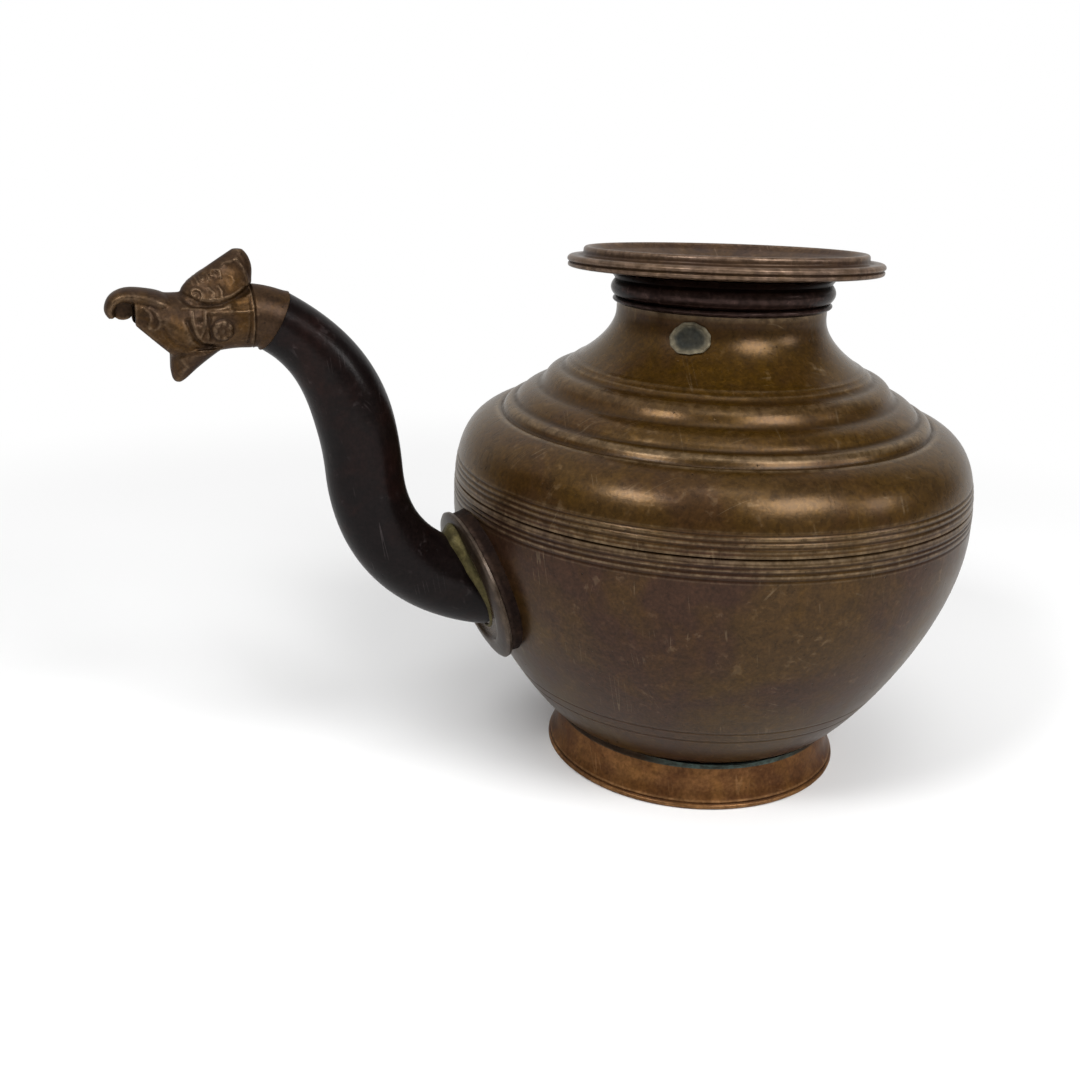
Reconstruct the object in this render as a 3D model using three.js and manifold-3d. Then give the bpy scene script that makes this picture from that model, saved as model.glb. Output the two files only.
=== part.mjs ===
// Spouted water pot of patinated bronze. A round banded body stands on a flared foot and carries a
// flanged mouth. A curved spout leaves the body through a round boss and ends in an open-mouthed
// beast head. Millimetres, +Z up, foot on z = 0, spout along -X, origin under the middle of the whole.

import * as THREE from "three";
import { mergeVertices } from "three/addons/utils/BufferGeometryUtils.js";
import Module from "manifold-3d";

const wasm = await Module();
wasm.setup();

// Driving dimensions

const GAP = 0.3; // clearance between two pieces that touch
const WALL = 2.4; // body wall
const ROUND = 32; // facets round the pot
const EDGE = 0.6; // worn rounding of an edge

// Foot
const FOOT_R = 58.0; // at the floor
const FOOT_WAIST_R = 54.6; // under the body
const FOOT_WALL = 2.8;
const FOOT_FLARE_H = 9.0; // height of the flared part
const FOOT_TOP_R = 54.2; // outer edge of the seat for the body
const FOOT_GROOVE_Z = 2.2; // turned groove above the floor
const FOOT_SOLDER = 2.6; // reach of the solder fillet outside the seat

// Body, from the bottom up
const BOTTOM_Z = 9.0; // lowest point of the body's underside
const BASE_R = 58.7; // where the side starts
const BASE_H = 11.9; // from the bottom up to there
const BELLY_R = 97.4;
const BOWL_H = 82.1; // from the base up to the widest level
const SEAM_H = 10.4; // from the widest level up to the joint of the two castings
const SHOULDER_R = 80.2; // outer edge of the terraces
const SHOULDER_H = 35.0; // from the widest level up to there
const LAP = 4.5; // overlap of the two castings at the joint

// Turned lines
const LINE_DEPTH = 0.45;
const LINE_W = 1.4;
const LINE_PITCH = 1.8;
const LINE_COUNT = 4; // in each of the two groups, below and above the joint
const LINE_CLEAR = 1.3; // from the joint to the nearest line
const BASE_LINES = [14.6, 19.4]; // single lines near the bottom, above the base

// Terraced shoulder, from the outside inwards: run and rise of each tread and of its riser
const TERRACES = [
  { tread: [4.0, 2.8], riser: [1.2, 1.1] },
  { tread: [7.8, 4.6], riser: [2.6, 3.3] },
  { tread: [5.8, 3.3], riser: [2.6, 2.4] },
];
const TREAD_CROWN = 0.7; // rise of each rounded tread above its chord
const LEDGE = [1.0, 0.5]; // flat outside the lowest tread
const NECK_FOOT = [3.2, 1.6]; // from the last riser to where the neck starts to rise

// Neck, collar and mouth
const NECK_R = 38.2;
const NECK_H = 17.4; // from the neck's foot up to its narrowest point
const COLLAR_UP = 3.2; // from there up to the collar
const COLLAR_H = 10.4;
const COLLAR_SEAT = 0.8; // depth that the neck is turned down under the collar
const COLLAR_WALL = 2.2; // at the collar's waists
const COLLAR_LIP_H = 1.7; // small lower bead
const COLLAR_BEAD_H = 5.6; // large bead
const COLLAR_BEAD = 1.0; // how far it stands out
const COLLAR_FLARE = 2.6; // spread of the collar's top
const FLANGE_R = 57.0;
const FLANGE_H = 5.6; // underside to top
const FLANGE_SLOPE = 1.2; // rise of the underside towards the edge
const FLANGE_BEAD_H = 1.8; // small bead under the edge
const LIP_R = 51.3; // outer edge of the raised lip
const LIP_H = 3.0; // above the flange
const LIP_W = 2.4;
const FUNNEL_H = 2.0; // first drop inside the lip
const MOUTH_SPIGOT = 5.0; // depth that the mouth casting reaches into the neck
const MOUTH_LEAN = 3.2; // degrees that the mouth sits out of level
const LEAN_AZIMUTH = 70; // its high side, in degrees from the spout towards the front
const LEAN_LOW = 5.0; // depth below the narrowest point where the lean starts

// Boss on the body, for the spout
const BOSS_DROP = 23.0; // of its centre, below the widest level
const BOSS_R = 28.5;
const BOSS_T = 1.9; // thickness at the edge
const BOSS_BAND_W = 7.6; // raised outer band
const BOSS_BAND_H = 1.2; // above the recess
const BOSS_CRUST = 2.0; // how far the solder stops short of the boss's edge
const CRUST_W = 9.4; // width of the ring of solder behind the boss
const BORE_R = 11.6; // water way through the body and the boss

// Spout: its path from the boss's centre. The low bend turns with the boss, so it is given along the
// boss's axis and up its face.
const SPOUT_START = [-6.2, -3.9];
const SPOUT_LOW_BEND = [[20.9, 10.5], [32.3, 30.8]];
// The rest as [out, up] distances
const SPOUT_KNEE = [42.2, 46.3];
const SPOUT_END = [70.4, 98.0];
const SPOUT_HIGH_BEND = [[44.2, 70.3], [52.0, 87.4]];
const SPOUT_ROOT_R = 14.3;
const SPOUT_MID_R = 13.0;
const SPOUT_TIP_R = 9.9;
const SPOUT_WALL = 1.7;
const SPOUT_STEPS = 16;
const SPOUT_SIDES = 16;
const SOLDER_W = 2.9; // brass solder heaped round the spout's root
const SOLDER_LOBE = 2.6; // more of it on the upper side
const SOLDER_H = 4.0;

// Ferrule between the spout and the head
const FERRULE_L = 7.3; // from the spout's end to the head, along the middle
const FERRULE_RISE = 1.9;
const FERRULE_BOW = 0.5; // its middle stands above the straight line
const FERRULE_SPIGOT = 5.0;
const HEAD_SOCKET = 3.0; // depth that the ferrule reaches into the head
const WATER_WAY_R = 6.4; // bore of the ferrule

// Beast head, measured from the middle of its rear face: forward, up and half width
const HEAD_SIDES = 14;
const HEAD_REAR_R = 9.9;
const HEAD_WALL = 1.9;
const HEAD_SECTIONS = [
  // forward, top, bottom, half width
  [0.0, 9.9, -9.9, 9.8],
  [5.5, 9.4, -9.8, 10.3],
  [11.5, 8.8, -10.4, 11.2],
  [18.0, 8.3, -11.7, 11.6],
  [24.0, 7.8, -11.9, 10.9],
  [30.0, 8.4, -8.7, 8.9],
  [35.0, 9.0, -3.7, 6.7],
];
const TRUNK_SECTIONS = [
  // forward and up of the middle, half thickness, half width
  [27.0, 4.9, 3.2, 8.3],
  [32.4, 6.7, 2.8, 6.9],
  [36.9, 7.4, 2.2, 5.9],
  [40.3, 6.1, 1.8, 5.1],
  [42.0, 3.2, 1.5, 4.4],
  [41.2, 1.0, 1.1, 3.8],
];
const CHIN_SECTIONS = [
  // up from the middle: back, front, half width
  [-8.5, 8.0, 25.3, 10.2],
  [-11.5, 12.4, 25.3, 8.2],
  [-15.1, 17.0, 25.4, 5.4],
  [-18.1, 20.4, 25.0, 3.4],
  [-19.4, 22.2, 24.3, 1.9],
];
const CREST_SECTIONS = [
  // up from the middle: back, front, half width
  [3.1, 2.6, 19.6, 10.6],
  [7.7, -0.2, 21.0, 8.8],
  [11.3, -0.7, 18.6, 6.8],
  [15.3, -0.9, 12.8, 5.0],
  [18.5, 0.1, 7.8, 3.6],
  [20.5, 1.7, 4.7, 2.0],
];
const MOUTH_LINE = [[37.6, 1.3], [25.0, -10.5]]; // lower edge of the upper jaw, front to back
const MOUTH_EDGE = 1.5; // how far the cut turns away at each end of that edge
const CURL_HOLE = { forward: 38.1, up: 3.4, r: 2.4 }; // hollow inside the curl of the trunk
const CURL_WEB = 2.6; // thickness of the leaf that closes it half way through
const CURL_WEB_LAP = 0.9; // how far that leaf reaches into the curl
const EYE = { forward: 18.3, up: 0.7, r: 1.9 };
const ROSETTE = { forward: 10.6, up: -2.8, r: 3.7, wire: 0.8 };
const CHEEK = { forward: 24.0, up: -4.3, long: 6.2, tall: 3.2, proud: 1.3 };
const CURLS = [[17.2, 7.7], [13.8, 10.7], [10.2, 13.5]]; // forward and up, three curls on the crest
const CURL_R = 2.1;
const SIDE_RIB = { from: 2.0, to: 20.0, up: 3.9, r: 0.7 };

// Wax seal on the neck
const SEAL_WIDE = 6.9; // half width
const SEAL_TALL = 4.9; // half height
const SEAL_T = 1.1;
const SEAL_RIM = 1.0;
const SEAL_DROP = 4.0; // of its centre, below the neck's narrowest point
const SEAL_AZIMUTH = 44; // degrees from the spout, towards the front

// Finishes

const FINISH = {
  body: { color: 0x5b5241, roughness: 0.42, metalness: 0.9 },
  mouth: { color: 0x6b6252, roughness: 0.4, metalness: 0.9 },
  collar: { color: 0x2b2224, roughness: 0.35, metalness: 0.9 },
  foot: { color: 0x6d4a32, roughness: 0.45, metalness: 0.9 },
  spout: { color: 0x1c1a1d, roughness: 0.3, metalness: 0.85 },
  head: { color: 0x5a4830, roughness: 0.5, metalness: 0.85 },
  boss: { color: 0x57534c, roughness: 0.42, metalness: 0.9 },
  solder: { color: 0x6f6b4a, roughness: 0.6, metalness: 0.6 },
  verdigris: { color: 0x45565a, roughness: 0.8, metalness: 0.3 },
  wax: { color: 0x3c4a4a, roughness: 0.6, metalness: 0.0 },
};

// Solids and surfaces

function faceOut(geometry) {
  const place = geometry.getAttribute("position");
  const index = geometry.index.array;
  const corner = [new THREE.Vector3(), new THREE.Vector3(), new THREE.Vector3()];
  let volume = 0;
  for (let i = 0; i < index.length; i += 3) {
    corner.forEach((point, k) => point.fromBufferAttribute(place, index[i + k]));
    volume += corner[0].dot(corner[1].clone().cross(corner[2]));
  }
  if (volume < 0) {
    for (let i = 0; i < index.length; i += 3) {
      [index[i + 1], index[i + 2]] = [index[i + 2], index[i + 1]];
    }
  }
  return geometry;
}

// A closed surface through rings of equally many points. A looped loft joins its last ring to its
// first, as a wall with an outside and an inside does; any other is capped at both ends.
function loft(rings, looped = false) {
  const sides = rings[0].length;
  const points = rings.flat();
  const index = [];
  const last = looped ? rings.length : rings.length - 1;
  for (let k = 0; k < last; k += 1) {
    const a = k * sides;
    const b = ((k + 1) % rings.length) * sides;
    for (let i = 0; i < sides; i += 1) {
      const j = (i + 1) % sides;
      index.push(a + i, a + j, b + j, a + i, b + j, b + i);
    }
  }
  if (!looped) {
    for (const [ring, start, turn] of [[rings[0], 0, true], [rings.at(-1), points.length - sides, false]]) {
      const middle = ring.reduce((sum, p) => sum.add(p), new THREE.Vector3()).divideScalar(sides);
      points.push(middle);
      for (let i = 0; i < sides; i += 1) {
        const j = (i + 1) % sides;
        const pair = turn ? [start + j, start + i] : [start + i, start + j];
        index.push(points.length - 1, ...pair);
      }
    }
  }
  const geometry = new THREE.BufferGeometry().setFromPoints(points);
  geometry.setIndex(index);
  return faceOut(geometry);
}

// A turned solid from a closed outline of [radius, height] points, upwards on the outside
function turned(outline, facets = ROUND) {
  const points = outline.map(([r, z]) => new THREE.Vector2(r, z));
  if (outline[0][0] > 0) {
    points.push(points[0].clone());
  }
  const geometry = new THREE.LatheGeometry(points, facets);
  return geometry.rotateX(Math.PI / 2);
}

function solidOf(geometry) {
  const bare = new THREE.BufferGeometry();
  bare.setAttribute("position", geometry.getAttribute("position"));
  bare.setIndex(geometry.index);
  const merged = mergeVertices(bare, 1e-3);
  const index = merged.index.array;
  const triangles = [];
  for (let i = 0; i < index.length; i += 3) {
    const [a, b, c] = index.subarray(i, i + 3);
    if (a !== b && b !== c && c !== a) {
      triangles.push(a, b, c);
    }
  }
  const vertProperties = merged.getAttribute("position").array;
  const triVerts = new Uint32Array(triangles);
  return new wasm.Manifold(new wasm.Mesh({ numProp: 3, vertProperties, triVerts }));
}

function geometryOf(solid) {
  const mesh = solid.getMesh();
  const geometry = new THREE.BufferGeometry();
  geometry.setAttribute("position", new THREE.BufferAttribute(mesh.vertProperties, 3));
  geometry.setIndex(new THREE.BufferAttribute(mesh.triVerts, 1));
  return geometry;
}

function joined(first, ...others) {
  return others.reduce((sum, other) => sum.add(other), first);
}

function cut(first, ...others) {
  return others.reduce((rest, other) => rest.subtract(other), first);
}

// Outlines: lists of [radius, height] points

// The same outline moved inwards by a distance, square to its own direction
function inset(points, distance) {
  return points.map(([r, z], i) => {
    const [r0, z0] = points[Math.max(i - 1, 0)];
    const [r1, z1] = points[Math.min(i + 1, points.length - 1)];
    const length = Math.hypot(r1 - r0, z1 - z0);
    return [Math.max(r - (distance * (z1 - z0)) / length, 0), z + (distance * (r1 - r0)) / length];
  });
}

function bezier(start, controlA, controlB, end, divisions) {
  const curve = new THREE.CubicBezierCurve(
    new THREE.Vector2(...start),
    new THREE.Vector2(...controlA),
    new THREE.Vector2(...controlB),
    new THREE.Vector2(...end),
  );
  return curve.getPoints(divisions).map((p) => [p.x, p.y]);
}

// Points after the first of an arc between two points, raised above its chord in the middle
function crowned(start, end, rise, divisions = 3) {
  const [dr, dz] = [end[0] - start[0], end[1] - start[1]];
  const length = Math.hypot(dr, dz);
  const points = [];
  for (let i = 1; i <= divisions; i += 1) {
    const t = i / divisions;
    const lift = rise * 4 * t * (1 - t);
    points.push([start[0] + dr * t + (lift * dz) / length, start[1] + dz * t - (lift * dr) / length]);
  }
  return points;
}

// Where a rising outline passes a height or a radius
function across(points, value, axis) {
  const i = points.findIndex((p) => p[axis] >= value);
  const [a, b] = [points[i - 1], points[i]];
  const t = (value - a[axis]) / (b[axis] - a[axis]);
  return [a[0] + (b[0] - a[0]) * t, a[1] + (b[1] - a[1]) * t];
}

const radiusOn = (points, height) => across(points, height, 1)[0];
const heightOn = (points, radius) => across(points, radius, 0)[1];

function below(points, height) {
  return [...points.filter(([, z]) => z < height), [radiusOn(points, height), height]];
}

function above(points, height) {
  return [[radiusOn(points, height), height], ...points.filter(([, z]) => z > height)];
}

// The outline with a turned V line at each height
function scored(points, heights) {
  const kept = points.filter(([, z]) => heights.every((h) => Math.abs(z - h) > LINE_W / 2));
  const lines = heights.flatMap((h) => [
    [radiusOn(points, h - LINE_W / 2), h - LINE_W / 2],
    [radiusOn(points, h) - LINE_DEPTH, h],
    [radiusOn(points, h + LINE_W / 2), h + LINE_W / 2],
  ]);
  return [...kept, ...lines].sort((a, b) => a[1] - b[1]);
}

// Groups and pieces

const foot = new THREE.Group();
const body = new THREE.Group();
const spout = new THREE.Group();
const pot = new THREE.Group();
pot.add(foot, body, spout);

function addPiece(group, name, geometry, finish) {
  const mesh = new THREE.Mesh(geometry, new THREE.MeshStandardMaterial(finish));
  mesh.name = name;
  group.add(mesh);
}

// Body outline, outside only

const baseZ = BOTTOM_Z + BASE_H;
const bellyZ = baseZ + BOWL_H;
const seamZ = bellyZ + SEAM_H;
const shoulderZ = bellyZ + SHOULDER_H;
const underside = new THREE.QuadraticBezierCurve(
  new THREE.Vector2(0, BOTTOM_Z),
  new THREE.Vector2(BASE_R * 0.76, BOTTOM_Z),
  new THREE.Vector2(BASE_R, baseZ),
).getPoints(5).map((p) => [p.x, p.y]);
const sideRun = BELLY_R - BASE_R;
const bowlSide = bezier(
  [BASE_R, baseZ],
  [BASE_R + sideRun * 0.27, baseZ + BOWL_H * 0.11],
  [BELLY_R, bellyZ - BOWL_H * 0.39],
  [BELLY_R, bellyZ],
  8,
);
const shoulder = bezier(
  [BELLY_R, bellyZ],
  [BELLY_R, bellyZ + SHOULDER_H * 0.47],
  [SHOULDER_R + (BELLY_R - SHOULDER_R) * 0.92, shoulderZ - SHOULDER_H * 0.1],
  [SHOULDER_R, shoulderZ],
  8,
);
const bodySide = [...underside, ...bowlSide.slice(1), ...shoulder.slice(1)];
const lineHeights = Array.from({ length: LINE_COUNT }, (_, i) => LINE_CLEAR + i * LINE_PITCH);

// Lower casting: the bowl, with a tongue at its top edge that the upper casting laps over

const seamR = radiusOn(bodySide, seamZ);
const jointR = seamR - WALL / 2;
const innerR = seamR - WALL;
const lowerOutside = below(bodySide, seamZ);
const bowlInside = inset([...underside, ...bowlSide.slice(1)], WALL).filter((_, i) => i % 3 === 0);
const lowerOutline = [
  ...scored(lowerOutside, [...BASE_LINES.map((up) => baseZ + up), ...lineHeights.map((h) => seamZ - h)]),
  [jointR - GAP / 2, seamZ],
  [jointR - GAP / 2, seamZ + LAP],
  [innerR, seamZ + LAP],
  ...bowlInside.reverse(),
];
const bowlSolid = solidOf(turned(lowerOutline));

// Upper casting: terraced shoulder and neck

const ledge = [SHOULDER_R - LEDGE[0], shoulderZ + LEDGE[1]];
const shoulderLine = [SHOULDER_R - LEDGE[0] / 2, shoulderZ - LINE_DEPTH];
const terraces = [shoulderLine, ledge];
const terraceFeet = [];
for (const { tread, riser } of TERRACES) {
  const start = terraces.at(-1);
  const step = [start[0] - tread[0], start[1] + tread[1]];
  terraces.push(...crowned(start, step, -TREAD_CROWN), [step[0] - riser[0], step[1] + riser[1]]);
  terraceFeet.push(step);
}
const [crownR, crownZ] = terraces.at(-1);
const neckFootR = crownR - NECK_FOOT[0];
const neckFootZ = crownZ + NECK_FOOT[1];
const neckLine = [crownR - NECK_FOOT[0] * 0.4, crownZ + NECK_FOOT[1] * 0.4];
const neckZ = neckFootZ + NECK_H;
const neck = bezier(
  [neckFootR, neckFootZ],
  [neckFootR - (neckFootR - NECK_R) * 0.41, neckFootZ + NECK_H * 0.2],
  [NECK_R, neckZ - NECK_H * 0.4],
  [NECK_R, neckZ],
  5,
);
const collarZ = neckZ + COLLAR_UP;
const neckTopZ = collarZ + COLLAR_H;
const neckInnerR = NECK_R - WALL;
const collarSeatR = NECK_R - COLLAR_SEAT;
const upperInside = inset([
  ...shoulder.filter(([, z]) => z > seamZ + LAP + WALL),
  ...terraceFeet.slice(1),
  ...neck.filter((_, i) => i % 2 === 0),
], WALL);
const upperOutline = [
  ...scored(above(shoulder, seamZ + GAP), lineHeights.map((h) => seamZ + GAP + h)),
  ...terraces,
  neckLine,
  ...neck,
  [NECK_R, collarZ - GAP],
  [collarSeatR, collarZ - GAP],
  [collarSeatR, neckTopZ],
  [neckInnerR, neckTopZ],
  ...upperInside.reverse(),
  [innerR, seamZ + LAP + GAP],
  [jointR + GAP / 2, seamZ + LAP + GAP],
  [jointR + GAP / 2, seamZ + GAP],
];

// The mouth sits a little out of level: the lean grows from the neck to the collar's top
function leaned(geometry) {
  const slope = Math.tan(THREE.MathUtils.degToRad(MOUTH_LEAN));
  const azimuth = THREE.MathUtils.degToRad(LEAN_AZIMUTH);
  const place = geometry.getAttribute("position");
  for (let i = 0; i < place.count; i += 1) {
    const [x, y, z] = [place.getX(i), place.getY(i), place.getZ(i)];
    const share = THREE.MathUtils.smoothstep(z, neckZ - LEAN_LOW, neckTopZ);
    place.setZ(i, z - share * slope * (x * Math.cos(azimuth) + y * Math.sin(azimuth)));
  }
  return geometry;
}

addPiece(body, "upper_body", leaned(turned(upperOutline)), FINISH.body);

// Beaded collar round the top of the neck

const collarInnerR = collarSeatR + GAP;
const waistR = collarSeatR + COLLAR_WALL;
const beadZ = collarZ + COLLAR_LIP_H + GAP;
const collarOutline = [
  [collarInnerR, collarZ],
  [waistR - EDGE, collarZ],
  [waistR, collarZ + COLLAR_LIP_H / 2],
  [waistR - EDGE, collarZ + COLLAR_LIP_H],
  [waistR, beadZ],
  ...crowned([waistR, beadZ], [waistR, beadZ + COLLAR_BEAD_H], COLLAR_BEAD),
  [waistR + COLLAR_FLARE, neckTopZ],
  [collarInnerR, neckTopZ],
];
addPiece(body, "neck_collar", leaned(turned(collarOutline)), FINISH.collar);

// Mouth: flange, raised lip and funnel, with a spigot inside the neck

const flangeZ = neckTopZ + GAP;
const flangeTopZ = flangeZ + FLANGE_H;
const flangeEdgeZ = flangeZ + FLANGE_SLOPE;
const lipTopZ = flangeTopZ + LIP_H;
const lipInnerR = LIP_R - LIP_W;
const spigotR = neckInnerR - GAP;
const spigotInnerR = spigotR - WALL / 2;
const spigotZ = flangeZ - MOUTH_SPIGOT;
const mouthOutline = [
  [spigotR, flangeZ],
  [waistR + COLLAR_FLARE, flangeZ],
  [FLANGE_R - 2 * EDGE, flangeEdgeZ],
  [FLANGE_R - EDGE / 2, flangeEdgeZ + FLANGE_BEAD_H / 2],
  [FLANGE_R - EDGE, flangeEdgeZ + FLANGE_BEAD_H],
  [FLANGE_R, flangeEdgeZ + FLANGE_BEAD_H + EDGE],
  [FLANGE_R, flangeTopZ - 2 * EDGE],
  [FLANGE_R - 1.5 * EDGE, flangeTopZ - EDGE / 2],
  [LIP_R + EDGE, flangeTopZ],
  [LIP_R, flangeTopZ + EDGE],
  [LIP_R, lipTopZ - EDGE],
  [LIP_R - EDGE, lipTopZ],
  [lipInnerR + EDGE, lipTopZ],
  [lipInnerR - FUNNEL_H, lipTopZ - FUNNEL_H],
  [spigotInnerR, flangeZ + WALL / 2],
  [spigotInnerR, spigotZ],
  [spigotR, spigotZ],
];
addPiece(body, "mouth_rim", leaned(turned(mouthOutline)), FINISH.mouth);

// Foot ring and the solder that joins it to the underside

const bottomAt = (radius) => heightOn(bodySide, radius);
const footTopZ = bottomAt(FOOT_TOP_R) - GAP;
const footInnerTopR = FOOT_TOP_R - FOOT_WALL;
const footOutline = [
  [FOOT_R - FOOT_WALL - EDGE, 0],
  [FOOT_R - EDGE, 0],
  [FOOT_R, EDGE],
  [FOOT_R - EDGE, FOOT_GROOVE_Z - EDGE / 2],
  [FOOT_R - 2 * EDGE, FOOT_GROOVE_Z],
  [FOOT_R - 1.5 * EDGE, FOOT_GROOVE_Z + EDGE],
  [FOOT_WAIST_R + 2 * EDGE, FOOT_FLARE_H * 0.6],
  [FOOT_WAIST_R + EDGE / 2, FOOT_FLARE_H],
  [FOOT_TOP_R, footTopZ],
  [footInnerTopR, bottomAt(footInnerTopR) - GAP],
  [FOOT_WAIST_R - FOOT_WALL, FOOT_FLARE_H * 0.7],
];
addPiece(foot, "foot_ring", turned(footOutline), FINISH.foot);

const footSolderR = FOOT_TOP_R + FOOT_SOLDER;
const footSolderInnerR = FOOT_TOP_R + 1.5 * GAP;
const footSolderOutline = [
  [footSolderInnerR, footTopZ - FOOT_SOLDER * 0.8],
  [footSolderInnerR + FOOT_SOLDER * 0.3, footTopZ - FOOT_SOLDER * 0.4],
  [footSolderR, bottomAt(footSolderR) - 2 * GAP],
  [footSolderInnerR, bottomAt(footSolderInnerR) - 1.5 * GAP],
];
addPiece(foot, "foot_solder", turned(footSolderOutline), FINISH.verdigris);

// Spout frame: the plane y = 0, with distances outwards from the axis and upwards

function inPlane(out, up, side = 0) {
  return new THREE.Vector3(-out, side, up);
}

const bossZ = bellyZ - BOSS_DROP;
const bossOut = radiusOn(bodySide, bossZ);
const slopeStep = 4;
const bossTilt = Math.atan2(
  radiusOn(bodySide, bossZ + slopeStep) - radiusOn(bodySide, bossZ - slopeStep), 2 * slopeStep);
const bossPlace = new THREE.Matrix4().compose(
  inPlane(bossOut, bossZ),
  new THREE.Quaternion().setFromAxisAngle(new THREE.Vector3(0, 1, 0), -Math.PI / 2 - bossTilt),
  new THREE.Vector3(1, 1, 1),
);

// A turned solid on the boss's axis: heights count outwards from the body's surface
function onBoss(outline, facets = 28) {
  return solidOf(turned(outline, facets).applyMatrix4(bossPlace));
}

const bodyGrown = solidOf(turned([
  [0, BOTTOM_Z],
  ...inset(bodySide, -GAP).slice(1),
  [0, shoulderZ],
]));

// Lower casting, with the water way behind the boss

const bossReach = 2 * BOSS_R;
const waterWay = onBoss([[0, -BOSS_R], [BORE_R, -BOSS_R], [BORE_R, BOSS_R], [0, BOSS_R]], 24);
addPiece(body, "lower_bowl", geometryOf(cut(bowlSolid, waterWay)), FINISH.body);

// Boss: a dished plate with a raised outer band

const bossBack = 2 * GAP;
const recessR = BOSS_R - BOSS_BAND_W;
const recessH = bossBack + BOSS_T;
const bandH = recessH + BOSS_BAND_H;
const bossSolid = onBoss([
  [BORE_R, bossBack],
  [BOSS_R - EDGE, bossBack],
  [BOSS_R, bossBack + EDGE],
  [BOSS_R, recessH - EDGE],
  [BOSS_R - EDGE, recessH],
  ...crowned([BOSS_R - EDGE, recessH], [recessR + EDGE, bandH], -EDGE),
  [recessR, bandH - EDGE / 2],
  [recessR - EDGE / 2, recessH],
  [BORE_R, recessH],
]);
addPiece(spout, "spout_boss", geometryOf(cut(bossSolid, bodyGrown)), FINISH.boss);

// Solder between the flat back of the boss and the round body
const crustR = BOSS_R - BOSS_CRUST;
const bossSolder = onBoss([
  [crustR - CRUST_W, -BOSS_R / 3],
  [crustR, -BOSS_R / 3],
  [crustR, bossBack - GAP],
  [crustR - CRUST_W, bossBack - GAP],
]);
addPiece(spout, "boss_solder", geometryOf(cut(bossSolder, bodyGrown)), FINISH.solder);

// Spout path and its sections

const fromBoss = ([out, up]) => new THREE.Vector2(bossOut + out, bossZ + up);
const fromFace = ([out, up]) => fromBoss([
  out * Math.cos(bossTilt) + up * Math.sin(bossTilt),
  up * Math.cos(bossTilt) - out * Math.sin(bossTilt),
]);
const lowBend = new THREE.CubicBezierCurve(
  fromFace(SPOUT_START), ...SPOUT_LOW_BEND.map(fromFace), fromBoss(SPOUT_KNEE));
const highBend = new THREE.CubicBezierCurve(
  fromBoss(SPOUT_KNEE), ...SPOUT_HIGH_BEND.map(fromBoss), fromBoss(SPOUT_END));

function spoutPoint(t) {
  const curve = t < 0.5 ? lowBend : highBend;
  const local = t < 0.5 ? t * 2 : t * 2 - 1;
  return { at: curve.getPoint(local), along: curve.getTangent(local) };
}

// Outer radius of the tube along its length: a quick narrowing at the root, then a late taper
function spoutRadius(t) {
  const early = THREE.MathUtils.smoothstep(t, 0, 0.45);
  const late = THREE.MathUtils.smoothstep(t, 0.62, 1);
  return SPOUT_ROOT_R + (SPOUT_MID_R - SPOUT_ROOT_R) * early + (SPOUT_TIP_R - SPOUT_MID_R) * late;
}

// Ring of points square to a direction in the plane
function ringAt(at, along, tall, wide = tall, sides = SPOUT_SIDES) {
  const ring = [];
  for (let i = 0; i < sides; i += 1) {
    const angle = (2 * Math.PI * i) / sides;
    const rise = tall * Math.cos(angle);
    ring.push(inPlane(at.x - along.y * rise, at.y + along.x * rise, wide * Math.sin(angle)));
  }
  return ring;
}

function spoutRings(offset, to = 1) {
  const rings = [];
  for (let k = 0; k <= SPOUT_STEPS; k += 1) {
    const t = (to * k) / SPOUT_STEPS;
    const { at, along } = spoutPoint(t);
    rings.push(ringAt(at, along, spoutRadius(t) + offset));
  }
  return rings;
}

const tubeSolid = solidOf(loft([...spoutRings(0), ...spoutRings(-SPOUT_WALL).reverse()], true));
const tubeStart = recessH + GAP;
const behindTube = onBoss([
  [0, -bossReach],
  [bossReach, -bossReach],
  [bossReach, tubeStart],
  [0, tubeStart],
], 12);
addPiece(spout, "spout_tube", geometryOf(cut(tubeSolid, behindTube)), FINISH.spout);

// Brass solder heaped round the spout's root, on the floor of the boss's recess, thickest on its
// upper side
const tubeGrown = solidOf(loft(spoutRings(GAP, 0.5)));
const rootR = spoutRadius(0) + GAP;
const heapR = rootR + SOLDER_W;
const heap = onBoss([
  [0, tubeStart],
  [heapR, tubeStart],
  ...crowned([heapR, tubeStart], [rootR, tubeStart + SOLDER_H], EDGE),
  [0, tubeStart + SOLDER_H],
], 20);
const lobe = onBoss([
  [0, tubeStart],
  ...crowned([rootR, tubeStart], [0, tubeStart + SOLDER_H + SOLDER_LOBE], SOLDER_LOBE, 5),
], 20).translate(inPlane(SOLDER_LOBE, 2 * SOLDER_LOBE, 0).toArray());
const recessRoom = onBoss([
  [0, tubeStart],
  [recessR - EDGE, tubeStart],
  [recessR - EDGE, tubeStart + BOSS_R],
  [0, tubeStart + BOSS_R],
]);
const solderHeap = cut(joined(heap, lobe).intersect(recessRoom), tubeGrown);
addPiece(spout, "spout_solder", geometryOf(solderHeap), FINISH.solder);

// Ferrule: a short elbow that turns the spout's climb level

const tip = spoutPoint(1);
const rear = {
  at: new THREE.Vector2(tip.at.x + FERRULE_L, tip.at.y + FERRULE_RISE),
  along: new THREE.Vector2(1, 0),
};

function ferruleRing(t, radius) {
  const at = tip.at.clone().lerp(rear.at, t);
  at.y += FERRULE_BOW * Math.sin(Math.PI * t);
  return ringAt(at, tip.along.clone().lerp(rear.along, t).normalize(), radius);
}

function straightRings(start, direction, lengths, radius, sides = SPOUT_SIDES) {
  return lengths.map((length) => {
    const at = start.clone().addScaledVector(direction, length);
    return ringAt(at, direction, radius, radius, sides);
  });
}

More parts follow.
